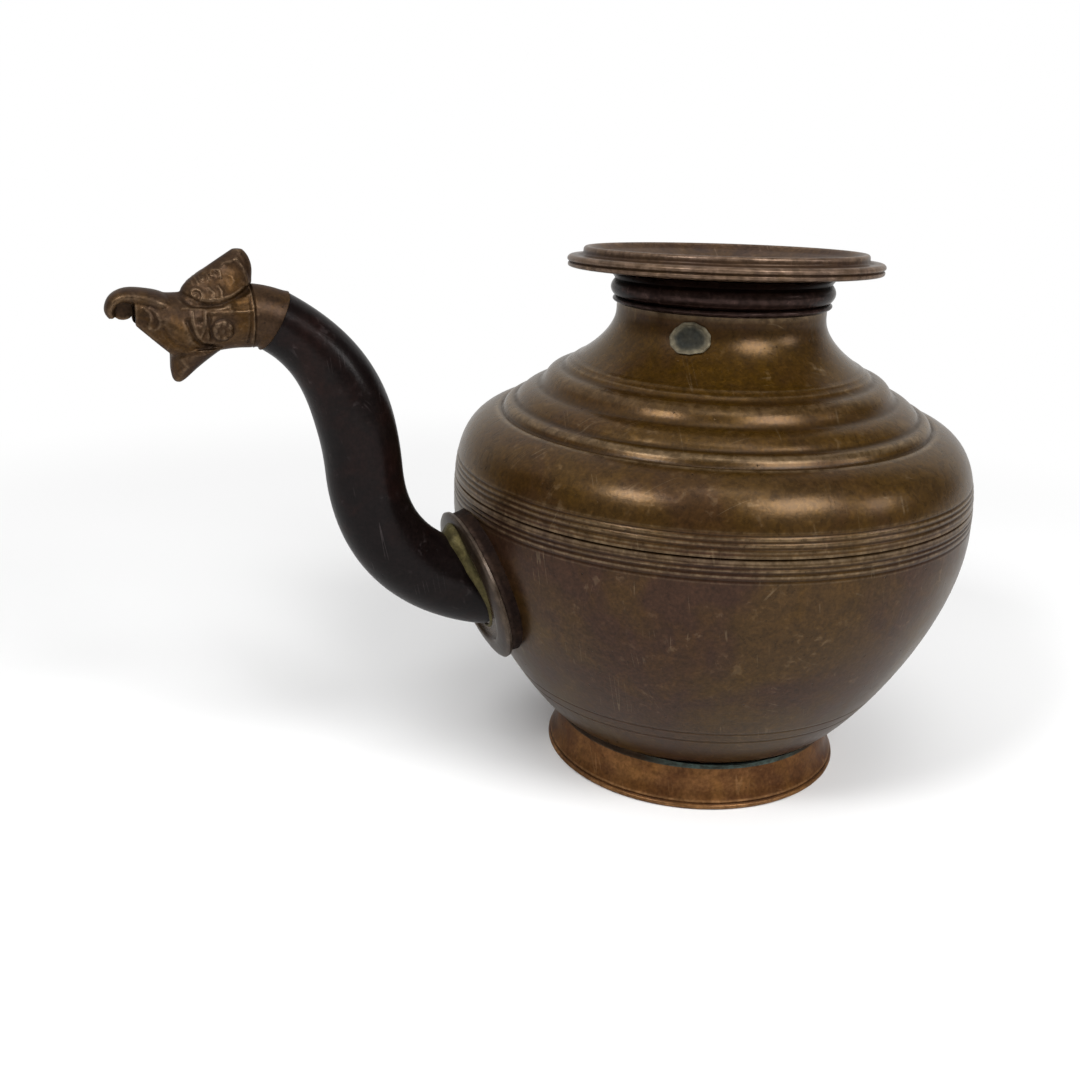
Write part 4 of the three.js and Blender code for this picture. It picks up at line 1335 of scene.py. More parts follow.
@dataclass
class Spout:
    """The curved tube, the solder at its root and the ferrule at its end."""

    boss: Boss
    start: Point = (-6.2, -3.9)
    low_bend: tuple[Point, Point] = ((20.9, 10.5), (32.3, 30.8))
    knee: Point = (42.2, 46.3)
    high_bend: tuple[Point, Point] = ((44.2, 70.3), (52.0, 87.4))
    end: Point = (70.4, 98.0)
    root_r: float = 14.3
    mid_r: float = 13.0
    tip_r: float = 9.9
    wall: float = 1.7
    ferrule: float = 7.3
    ferrule_rise: float = 1.9
    ferrule_bow: float = 0.5
    water_way_r: float = 6.4
    sides: int = 64
    steps: int = 96
    heap: tuple[Point, ...] = (
        (-0.8, 0.1),
        (3.1, 0.0),
        (2.6, 1.3),
        (1.3, 2.9),
        (0.1, 4.3),
        (-0.9, 4.5),
    )  # the solder's outline, as distance from the tube and height over the recess

    def path(self, t: float) -> tuple[Vector, Vector]:
        """Find a point of the tube's middle line.

        Args:
            t: its share of the way from the root to the end.

        Returns:
            The point and the direction there.
        """
        knee = self.boss.from_centre(*self.knee)
        if t < 0.5:
            low = [self.boss.from_face(*p) for p in (self.start, *self.low_bend)]
            (a, b, c), d, local = low, knee, t * 2
        else:
            high = [self.boss.from_centre(*p) for p in (*self.high_bend, self.end)]
            a, (b, c, d), local = knee, high, t * 2 - 1
        s = 1 - local
        spot = a * s**3 + b * (3 * local * s * s) + c * (3 * local * local * s) + d * local**3
        along = (b - a) * (s * s) + (c - b) * (2 * s * local) + (d - c) * (local * local)
        return spot, along.normalized()

    def radius(self, t: float) -> float:
        """Find the tube's outer radius.

        Args:
            t: a share of the way from its root to its end.

        Returns:
            The radius there.
        """
        early = min(t / 0.45, 1.0)
        late = min(max((t - 0.62) / 0.38, 0.0), 1.0)
        early, late = (x * x * (3 - 2 * x) for x in (early, late))
        return self.root_r + (self.mid_r - self.root_r) * early + (self.tip_r - self.mid_r) * late

    @property
    def rear(self) -> Vector:
        """Middle of the head's rear face."""
        tip, _ = self.path(1.0)
        return tip + Vector((-self.ferrule, 0, self.ferrule_rise))

    def share_above(self, height: float) -> float:
        """Find where the tube's middle line rises past a height above the body.

        Args:
            height: the height, along the boss's axis.

        Returns:
            The share of the tube's way.
        """
        inverse = self.boss.place().inverted()
        shares = (k / 400 for k in range(200))
        return next(t for t in shares if (inverse @ self.path(t)[0]).z > height)

    def tube_form(self) -> bmesh.types.BMesh:
        """Shape the tube's wall, inside and outside, cut off at the boss's recess.

        Returns:
            The tube's mesh.
        """
        start = self.share_above(self.boss.floor - 5)
        shares = [start + (1 - start) * k / self.steps for k in range(self.steps + 1)]
        outer = [ring_at(*self.path(t), self.radius(t)) for t in shares]
        inner = [ring_at(*self.path(t), self.radius(t) - self.wall) for t in reversed(shares)]
        form = lofted(outer + inner, self.sides, looped=True)
        place = self.boss.place()
        plane = {
            "plane_co": place @ Vector((0, 0, self.boss.floor + 0.25)),
            "plane_no": place.to_3x3() @ OUTWARD,
        }
        parts = [*form.verts, *form.edges, *form.faces]
        cut = bmesh.ops.bisect_plane(form, geom=parts, clear_inner=True, **plane)["geom_cut"]
        bmesh.ops.bridge_loops(form, edges=of_kind(cut, bmesh.types.BMEdge))
        bmesh.ops.recalc_face_normals(form, faces=form.faces)
        return form

    def solder_form(self) -> bmesh.types.BMesh:
        """Shape the brass heaped round the root, higher on its upper side and ragged at its edge.

        Returns:
            The solder's mesh.
        """
        place = self.boss.place()
        outward = place.to_3x3() @ OUTWARD
        centre, along = self.path(self.share_above(self.boss.floor))
        middle = place.inverted() @ centre
        stretch = 1 / max(outward.dot(along), 0.5)
        lift = along - outward * along.dot(outward)
        root = self.radius(0.05)
        outline = refined([*self.heap, self.heap[0]], 0.7)[:-1]
        form = turned([(root + out, high) for out, high in outline], 96, marked=False)
        for vert in form.verts:
            turn = math.atan2(vert.co.y, vert.co.x)
            upper = 0.5 + 0.5 * math.cos(turn)
            phases = ((n, turn * n + 0.9 * n * n + vert.co.z) for n in (3, 7, 12, 21, 33))
            lumps = sum(math.sin(phase) / n for n, phase in phases)
            grow = (0.12 + 1.8 * upper**3) * (1 + 0.35 * lumps)
            out = max(math.hypot(vert.co.x, vert.co.y) - root, 0.0)
            radius = root + min(out, 0.4) + max(out - 0.4, 0.0) * grow
            high = vert.co.z * grow
            across = (radius * math.cos(turn) * stretch + middle.x, radius * math.sin(turn))
            vert.co = place @ Vector((*across, high + self.boss.floor)) + lift * high
        return form

    def ferrule_rings(self, radius: Callable[[float], float], reach: float) -> list[Matrix]:
        """Rings of the short elbow.

        Args:
            radius: outer radius by the share of the way.
            reach: how far it runs on at both ends, inside its neighbours.

        Returns:
            The rings from the tube's end to the head.
        """
        tip, along = self.path(1.0)
        rear = self.rear
        rings = [ring_at(tip - along * reach, along, radius(0.0))] if reach else []
        for k in range(13):
            t = 0.03 + 0.94 * k / 12
            spot = tip.lerp(rear, t) + Vector((0, 0, self.ferrule_bow * math.sin(math.pi * t)))
            rings.append(ring_at(spot, along.lerp(AHEAD, t), radius(t)))
        if reach:
            rings.append(ring_at(rear + AHEAD * reach, AHEAD, radius(1.0)))
        return rings

    def ferrule_form(self) -> bmesh.types.BMesh:
        """Shape the elbow with slightly swollen ends, open along its water way.

        Returns:
            The ferrule's mesh.
        """

        def outer(t: float) -> float:
            """Outer radius at a share of the way."""
            return self.tip_r + 0.05 + 0.35 * math.exp(-((t / 0.1) ** 2)) - 0.3 * math.sin(math.pi * t)

        outside = self.ferrule_rings(outer, 0.0)
        inside = self.ferrule_rings(lambda t: self.water_way_r, 3.0)
        return lofted(outside + inside[::-1], 72, looped=True)

    def build(self, bench: Bench) -> None:
        """Make the tube, its solder and the ferrule.

        Args:
            bench: where the pieces go.
        """
        tube = bench.object_of(self.tube_form(), "spout_pipe")
        bench.finish(tube, "spout_tube", "spout_bronze", Finish.SPOUT)
        solder = bench.object_of(self.solder_form(), "root_solder")
        bench.finish(solder, "spout_solder", "brass_solder", Finish.SOLDER, 70)
        ferrule = bench.object_of(self.ferrule_form(), "elbow_ferrule")
        bench.finish(ferrule, "spout_ferrule", "head_bronze", Finish.HEAD)


CARVING_LEFT = 0.55  # share of the carving's height that wear has left
CARVING_SPREAD = 1.15  # how much wider wear has made it


class Tool(Enum):
    """How a carving stroke shapes the surface."""

    RIDGE = 1.0
    GROOVE = -1.0


@dataclass(frozen=True)
class Stroke:
    """A carved line on the head's side: forward and up distances, width and height in millimetres."""

    tool: Tool
    path: tuple[Point, ...]
    width: float
    height: float

    def relief(self, forward: np.ndarray, up: np.ndarray) -> np.ndarray:
        """Height that the stroke adds at each point.

        Args:
            forward: forward distances of the points.
            up: their heights.

        Returns:
            What it adds, in millimetres.
        """
        nearest = np.full(len(forward), 1e9)
        spots = self.path if len(self.path) > 1 else self.path * 2
        for (f0, u0), (f1, u1) in zip(spots, spots[1:]):
            run, climb = f1 - f0, u1 - u0
            size = run * run + climb * climb or 1.0
            t = np.clip(((forward - f0) * run + (up - u0) * climb) / size, 0, 1)
            nearest = np.minimum(nearest, np.hypot(forward - f0 - run * t, up - u0 - climb * t))
        shape = np.exp(-((nearest / self.width / CARVING_SPREAD) ** 2))
        return self.tool.value * self.height * CARVING_LEFT * shape


def spiral(
    centre: Point, radius: float, turns: float, start: float, count: int = 40
) -> tuple[Point, ...]:
    """Points of a spiral that winds outwards.

    Args:
        centre: its centre.
        radius: its outer radius.
        turns: how many times it goes round.
        start: its first direction, in degrees.
        count: how many points it has.

    Returns:
        The points from the middle out.
    """
    points = []
    for k in range(count + 1):
        t = k / count
        angle = math.radians(start) + FULL_TURN * turns * t
        out = radius * t
        points.append((centre[0] + out * math.cos(angle), centre[1] + out * math.sin(angle)))
    return tuple(points)


def ring_of(centre: Point, radius: float, count: int) -> list[Point]:
    """Points evenly spaced on a circle, the first of them ahead of its centre."""
    turns = [FULL_TURN * k / count for k in range(count)]
    return [(centre[0] + radius * math.cos(a), centre[1] + radius * math.sin(a)) for a in turns]


@dataclass
class BeastHead:
    """The cast head: skull, curled trunk, chin and crest fused into one skin, then carved."""

    rear: Vector
    rear_r: float = 9.9
    socket_r: float = 8.2
    wall: float = 1.9
    voxel: float = 0.3
    skull: tuple[tuple[float, ...], ...] = (
        (0.0, 9.9, -9.9, 9.8),
        (5.5, 9.4, -9.8, 10.3),
        (11.5, 8.8, -10.4, 11.2),
        (18.0, 8.3, -11.7, 11.6),
        (24.0, 7.8, -11.9, 10.9),
        (30.0, 8.4, -8.7, 8.9),
        (35.0, 9.0, -3.7, 6.7),
    )
    trunk: tuple[tuple[float, ...], ...] = (
        (20.5, 2.2, 1.4, 4.6),
        (27.0, 4.9, 3.2, 8.3),
        (32.4, 6.7, 2.8, 6.9),
        (36.9, 7.4, 2.2, 5.9),
        (40.3, 6.1, 1.8, 5.1),
        (41.85, 3.2, 1.5, 4.4),
        (41.2, 1.0, 1.1, 3.8),
    )
    chin: tuple[tuple[float, ...], ...] = (
        (-8.5, 8.0, 25.3, 10.2),
        (-11.5, 12.4, 25.3, 8.2),
        (-15.1, 17.0, 25.4, 5.4),
        (-18.1, 20.4, 25.0, 3.4),
        (-19.4, 22.2, 24.3, 1.9),
    )
    crest: tuple[tuple[float, ...], ...] = (
        (3.1, 2.6, 19.6, 10.6),
        (7.7, -0.2, 21.0, 8.8),
        (11.3, -0.7, 18.6, 6.8),
        (15.3, -0.9, 12.8, 5.0),
        (18.5, 0.1, 7.8, 3.6),
        (20.5, 1.7, 4.7, 2.0),
    )
    mouth_line: tuple[Point, Point] = ((37.6, 1.3), (25.0, -10.5))
    curl_hole: tuple[float, float, float] = (38.1, 3.4, 2.4)
    gold_and_highlight: tuple[Triple, ...] = (
        (6.0, 11.0, 4.2),
        (3.2, -1.0, 3.4),
        (4.0, 4.6, 3.0),
        (23.5, -3.5, 3.0),
        (20.0, -6.5, 2.6),
        (28.5, -4.5, 2.4),
    )  # forward, up and reach of the places rubbed gold; on the cheek they also paint the fold's highlight
    gold_and_highlight_most: float = 0.7
    side_gain: float = 1.6  # how soon the carving is at its full height as the skin turns sideways
    plain_spine: float = 2.0  # millimetres from the head's middle plane over which it grows
    hollow_passes: int = 10  # of smoothing, for the skin that hollows are measured from
    hollow_full: float = 0.16  # depth in millimetres that counts as a full hollow
    web: float = 2.6  # thickness of the leaf that closes the curl
    web_lap: float = 0.9

    def point(self, forward: float, up: float, side: float = 0.0) -> Vector:
        """A point of the head from forward, up and sideways distances."""
        return self.rear + Vector((-forward, side, up))

    def smoothed(self, sections: Sequence[Sequence[float]], count: int = 5) -> list[tuple[float, ...]]:
        """Put more sections between the given ones, on a smooth curve.

        Args:
            sections: the given sections.
            count: how many stretches each gap gets.

        Returns:
            The sections, the given ones among them.
        """
        rows = np.array(sections)
        padded = np.vstack([2 * rows[0] - rows[1], rows, 2 * rows[-1] - rows[-2]])
        result = []
        for i in range(1, len(padded) - 2):
            a, b, c, d = padded[i - 1 : i + 3]
            for k in range(count):
                t = k / count
                bend, twist = 2 * a - 5 * b + 4 * c - d, 3 * b - a - 3 * c + d
                result.append(tuple(0.5 * (2 * b + (c - a) * t + bend * t**2 + twist * t**3)))
        result.append(tuple(rows[-1]))
        return result

    def upright(self, sections: Sequence[Sequence[float]], thinner: float = 0.0) -> list[Matrix]:
        """Place rings square to the head's length.

        Args:
            sections: each ring's place forward, its top, its bottom and its half width.
            thinner: how much each ring is drawn in on every side.

        Returns:
            The rings.
        """
        rings = []
        for forward, top, bottom, half in sections:
            centre = self.point(forward, (top + bottom) / 2)
            rings.append(ring_at(centre, AHEAD, (top - bottom) / 2 - thinner, half - thinner))
        return rings

    def level(self, sections: Sequence[Sequence[float]]) -> list[Matrix]:
        """Place level rings.

        Args:
            sections: each ring's height, its back, its front and its half width.

        Returns:
            The rings.
        """
        rings = []
        for up, back, front, half in sections:
            centre = self.point((back + front) / 2, up)
            rings.append(ring_at(centre, Vector((0, 0, 1)), (front - back) / 2, half))
        return rings

    def swept(self, sections: Sequence[Sequence[float]]) -> list[Matrix]:
        """Place rings along the trunk's own line.

        Args:
            sections: each ring's place forward and up, its half thickness and its half width.

        Returns:
            The rings.
        """
        rings = []
        for i, (forward, up, tall, wide) in enumerate(sections):
            before, after = sections[max(i - 1, 0)], sections[min(i + 1, len(sections) - 1)]
            along = Vector((before[0] - after[0], 0, after[1] - before[1]))
            rings.append(ring_at(self.point(forward, up), along, tall, wide))
        return rings

    def prism(self, corners: Sequence[Point], half: float = 20.0) -> bmesh.types.BMesh:
        """Push an outline in the head's plane out to both sides.

        Args:
            corners: its corners' places forward and up.
            half: how far it is pushed to each side.

        Returns:
            The prism's mesh.
        """
        form = bmesh.new()
        near = [form.verts.new(self.point(f, u, -half)) for f, u in corners]
        face = form.faces.new(near)
        made = bmesh.ops.extrude_face_region(form, geom=[face])["geom"]
        bmesh.ops.translate(form, vec=(0, 2 * half, 0), verts=of_kind(made, bmesh.types.BMVert))
        bmesh.ops.recalc_face_normals(form, faces=form.faces)
        return form

    def strokes(self) -> list[Stroke]:
        """List the carving on each side of the head.

        Returns:
            The strokes.
        """
        ridge, groove = Tool.RIDGE, Tool.GROOVE
        crest_foot = (
            (22.0, 8.2), (20.4, 6.2), (18.6, 5.3), (15.0, 4.9), (10.5, 5.2), (6.0, 6.4), (2.6, 8.0),
            (0.6, 9.4),
        )
        crest_hem = ((20.2, 8.3), (18.0, 6.9), (14.5, 6.4), (10.5, 6.6), (6.5, 7.7), (3.2, 9.4))
        crest_panel = ((6.4, 14.6), (4.6, 14.2), (3.6, 11.6), (4.6, 9.6), (7.2, 9.6), (7.6, 12.2))
        neck_loop = ((9.0, 5.0), (5.6, 6.0), (2.4, 7.4), (0.9, 7.3), (0.4, 5.6), (0.5, 3.9))
        eye_pouch = (
            (19.0, 3.2), (19.2, 0.4), (18.6, -2.4), (17.4, -4.4), (16.4, -2.6), (15.6, 0.6),
            (15.2, 3.2),
        )
        cheek = ((20.8, 0.6), (19.9, -2.0), (18.8, -4.8), (16.6, -7.0), (13.6, -7.8))
        rosette = (10.4, -2.6)
        return [
            Stroke(groove, crest_foot, 0.75, 1.5),
            Stroke(ridge, crest_hem, 0.55, 0.45),
            Stroke(ridge, ((4.2, 17.6), (2.6, 15.2), (1.7, 12.4), (1.1, 10.0)), 0.6, 0.8),
            Stroke(ridge, ((4.2, 17.6), (8.0, 16.6), (9.6, 14.8)), 0.6, 0.6),
            Stroke(groove, crest_panel, 1.6, 0.7),
            Stroke(ridge, spiral((17.3, 7.9), 2.6, 1.3, 200), 0.45, 0.6),
            Stroke(ridge, ((13.2, 9.6), (12.2, 8.4), (12.3, 7.0), (13.0, 6.3)), 0.5, 0.55),
            Stroke(ridge, ((10.6, 10.2), (9.8, 8.8), (10.0, 7.4)), 0.5, 0.45),
            Stroke(ridge, spiral((17.9, 11.4), 1.7, 1.1, 150), 0.4, 0.5),
            Stroke(ridge, spiral((14.6, 12.6), 1.8, 1.1, 160), 0.4, 0.5),
            Stroke(ridge, spiral((11.2, 13.6), 1.8, 1.1, 170), 0.4, 0.5),
            Stroke(ridge, ((21.5, 4.2), (17.0, 4.0), (12.5, 3.8), (8.6, 4.2)), 0.4, 0.4),
            Stroke(ridge, ((14.0, 2.9), (10.0, 2.6), (7.0, 2.9), (4.0, 2.7), (1.2, 2.9)), 0.45, 0.55),
            Stroke(ridge, neck_loop, 0.5, 0.35),
            Stroke(groove, ((5.0, 4.9), (2.0, 5.4)), 1.0, 0.6),
            Stroke(ridge, ((8.0, 4.3),), 0.8, 0.7),
            Stroke(ridge, ((7.4, 3.0),), 0.7, 0.6),
            Stroke(ridge, eye_pouch, 0.5, 0.6),
            Stroke(groove, ((17.3, 0.5),), 0.7, 0.8),
            Stroke(ridge, ((17.4, -2.2), (17.3, -1.2)), 0.9, 0.5),
            Stroke(groove, cheek, 0.6, 1.1),
            Stroke(ridge, ((26.6, 0.4), (24.6, -1.4), (22.2, -3.2), (20.6, -4.6)), 1.8, 1.1),
            Stroke(ridge, ((30.6, 4.2), (29.2, 2.8), (28.4, 0.8), (28.8, -1.0), (30.2, -2.0)), 0.5, 0.5),
            Stroke(ridge, ((32.6, 4.4), (31.2, 3.0), (30.8, 1.2), (31.6, -0.4)), 0.45, 0.5),
            Stroke(ridge, ((31.2, -1.3),), 0.75, 0.9),
            Stroke(ridge, ((36.6, 1.2), (33.0, -1.6), (29.6, -4.8), (26.4, -7.8)), 0.5, 0.5),
            Stroke(groove, ((27.6, -1.6), (26.2, -4.4), (24.4, -6.4), (21.6, -7.6)), 0.7, 0.8),
            Stroke(ridge, (rosette,), 0.8, 1.1),
            *(Stroke(ridge, (petal,), 0.75, 1.0) for petal in ring_of(rosette, 2.3, 7)),
            Stroke(groove, (*ring_of(rosette, 3.6, 24), (14.0, -2.6)), 0.35, 0.5),
            Stroke(groove, ((1.1, 6.8), (1.2, 2.0), (1.6, -3.0), (2.2, -7.2)), 0.45, 0.6),
            Stroke(groove, ((14.3, 2.2), (14.2, -1.6), (13.8, -5.2)), 0.5, 0.8),
            Stroke(groove, ((22.4, -10.2), (18.6, -9.2), (15.2, -8.6)), 0.6, 0.5),
            Stroke(ridge, ((22.6, -11.6), (21.0, -14.0), (23.0, -16.4)), 0.7, 0.4),
            Stroke(ridge, ((35.0, 8.0), (31.5, 7.2), (27.6, 5.6), (23.6, 4.6)), 1.0, 0.15),
        ]

    def cast(self, bench: Bench) -> bpy.types.Object:
        """Fuse the head's masses, hollow it and turn it into one even skin.

        Args:
            bench: where it is made.

        Returns:
            The head, before it is carved.
        """
        lip, jaw = self.mouth_line
        mouth = [lip, jaw, (jaw[0] + 1.5, -29), (58, -29), (lip[0] + 1.5, lip[1] - 1.5)]
        hole_f, hole_u, hole_r = self.curl_hole
        hole = ring_of((hole_f, hole_u), hole_r, 32)
        leaf = ring_of((hole_f, hole_u), hole_r + self.web_lap, 32)
        top = self.rear_r + 0.3
        behind = [(-20, -20), (0.3, -20), (0.3, top), (-20, top)]
        throat = [ring_at(self.point(f, 0), AHEAD, self.socket_r) for f in (-2.0, 3.5)]
        throat += self.upright(self.skull[2:], self.wall)
        form = lofted(self.upright(self.smoothed(self.skull)), 48)
        head = bench.object_of(form, "beast_head_casting")
        steps = (
            ("UNION", lofted(self.level(self.smoothed(self.chin)), 40)),
            ("UNION", lofted(self.swept(self.smoothed(self.trunk)), 40)),
            ("DIFFERENCE", self.prism(mouth)),
            ("DIFFERENCE", self.prism(hole)),
            ("UNION", self.prism(leaf, self.web / 2)),
            ("UNION", lofted(self.level(self.smoothed(self.crest)), 40)),
            ("DIFFERENCE", lofted(throat, 40)),
            ("DIFFERENCE", self.prism(behind)),
        )
        tools = []
        for number, (operation, form) in enumerate(steps):
            tool = bench.object_of(form, f"head_tool_{number}")
            cutter = head.modifiers.new(f"step_{number}", "BOOLEAN")
            cutter.operation, cutter.solver, cutter.object = operation, "EXACT", tool
            tools.append(tool)
        skin = head.modifiers.new("skin", "REMESH")
        skin.mode, skin.voxel_size = "VOXEL", self.voxel
        soften = head.modifiers.new("soften", "SMOOTH")
        soften.iterations, soften.factor = 9, 0.5
        applied(head)
        for tool in tools:
            bpy.data.objects.remove(tool)
        return head

    def carve(self, head: bpy.types.Object) -> None:
        """Move the skin's points by the carving, and mark its hollows for the finish.

        Args:
            head: the cast head.
        """
        mesh = head.data
        count = len(mesh.vertices)
        spots, normals = np.empty(count * 3), np.empty(count * 3)
        mesh.vertices.foreach_get("co", spots)
        mesh.vertices.foreach_get("normal", normals)
        spots, normals = spots.reshape(-1, 3), normals.reshape(-1, 3)
        forward, up = self.rear.x - spots[:, 0], spots[:, 2] - self.rear.z
        outwards = normals[:, 1] * np.sign(spots[:, 1])
        facing = np.clip(outwards * self.side_gain, 0, 1)
        facing *= np.clip(np.abs(spots[:, 1]) / self.plain_spine, 0, 1)
        total = sum(stroke.relief(forward, up) for stroke in self.strokes())
        spots = spots + normals * (total * facing)[:, None]
        mesh.vertices.foreach_set("co", spots.ravel())
        mesh.update()
        edges = np.empty(len(mesh.edges) * 2, dtype=np.int64)
        mesh.edges.foreach_get("vertices", edges)
        edges = edges.reshape(-1, 2)
        degree = np.bincount(edges.ravel(), minlength=count)[:, None]
        smooth = spots.copy()
        for _ in range(self.hollow_passes):
            total_near = np.zeros_like(smooth)
            np.add.at(total_near, edges[:, 0], smooth[edges[:, 1]])
            np.add.at(total_near, edges[:, 1], smooth[edges[:, 0]])
            smooth = total_near / np.maximum(degree, 1)
        mesh.vertices.foreach_get("normal", normals.reshape(-1))
        depth = ((smooth - spots) * normals).sum(axis=1)
        # gold where the head is rubbed, with a painted highlight on the cheek's fold
        rubbed = np.zeros(count)
        for place_f, place_u, reach in self.gold_and_highlight:
            rubbed += np.exp(-((forward - place_f) ** 2 + (up - place_u) ** 2) / reach**2)
        marks = {
            "hollow": np.clip(depth / self.hollow_full, -1, 1),
            # this mark carries rubbing and, on the cheek, a painted highlight
            "handled": np.clip(rubbed, 0, self.gold_and_highlight_most),
        }
        for name, values in marks.items():
            layer = mesh.attributes.new(name, "FLOAT", "POINT")
            layer.data.foreach_set("value", values.astype(np.float32))

    def build(self, bench: Bench) -> None:
        """Make the head.

        Args:
            bench: where it goes.
        """
        head = self.cast(bench)
        self.carve(head)
        bench.finish(head, "beast_head", "head_bronze", Finish.HEAD, 80)


@dataclass
class Seal:
    """The small oval of old wax on the neck, with a raised rim and a plain middle."""

    body: Body
    wide: float = 6.9  # half of its width
    tall: float = 4.9  # half of its height
    thick: float = 1.1
    drop: float = 4.0  # of its middle, below the neck's narrowest point
    azimuth: float = 44.0  # from the spout towards the front

    def build(self, bench: Bench) -> None:
        """Make the seal and lay it on the neck's curve.

        Args:
            bench: where it goes.
        """
        rim = [(1.02, 0.5), (0.97, 0.95), (0.88, 1.0), (0.8, 0.72), (0.7, 0.6)]
        form = turned(refined([(0.0, 0.0), (1.0, 0.0), *rim, (0.0, 0.62)], 0.1), 72)
        tan_rim = form.verts.layers.float.new("handled")
        side = self.body.neck()
        centre_z = self.body.neck_z - self.drop
        for vert in form.verts:
            x, y, z = vert.co
            turn = math.atan2(y, x)
            ragged = 1 + 0.02 * sum(math.sin(turn * n + n) for n in (3, 5, 11))
            vert[tan_rim] = float(np.interp(math.hypot(x, y), (0.72, 0.86), (0.0, 0.9)))
            across, height = x * self.wide * ragged, centre_z + y * self.tall * ragged
            out = z + 0.06 * math.sin(x * 9 + 2) * math.cos(y * 8)
            radius = radius_at(side, height) + 0.1 + out * self.thick
            angle = math.radians(180 + self.azimuth) + across / self.body.neck_r
            vert.co = (radius * math.cos(angle), radius * math.sin(angle), height)
        self.body.lean().apply(form)
        made = bench.object_of(form, "wax_seal")
        bench.finish(made, "neck_seal", "seal_wax", Finish.SEAL, 60)


@dataclass(frozen=True)
class Softbox:
    """A soft rectangular lamp: where it hangs from the pot, its size in metres and its brightness.

    Azimuth 0 is towards the front and 90 towards +X, and a brightness of 1 looks as bright as white.
    """

    name: str
    azimuth: float
    elevation: float
    away: float
    wide: float
    tall: float
    bright: float


@dataclass(frozen=True)
class Lobe:
    """A soft patch of the surroundings: its direction, how far it spreads and its brightness.

    The spread is given by the cosines of the angles at which the patch begins and is full.
    """

    azimuth: float
    elevation: float
    edge: float
    full: float
    bright: float


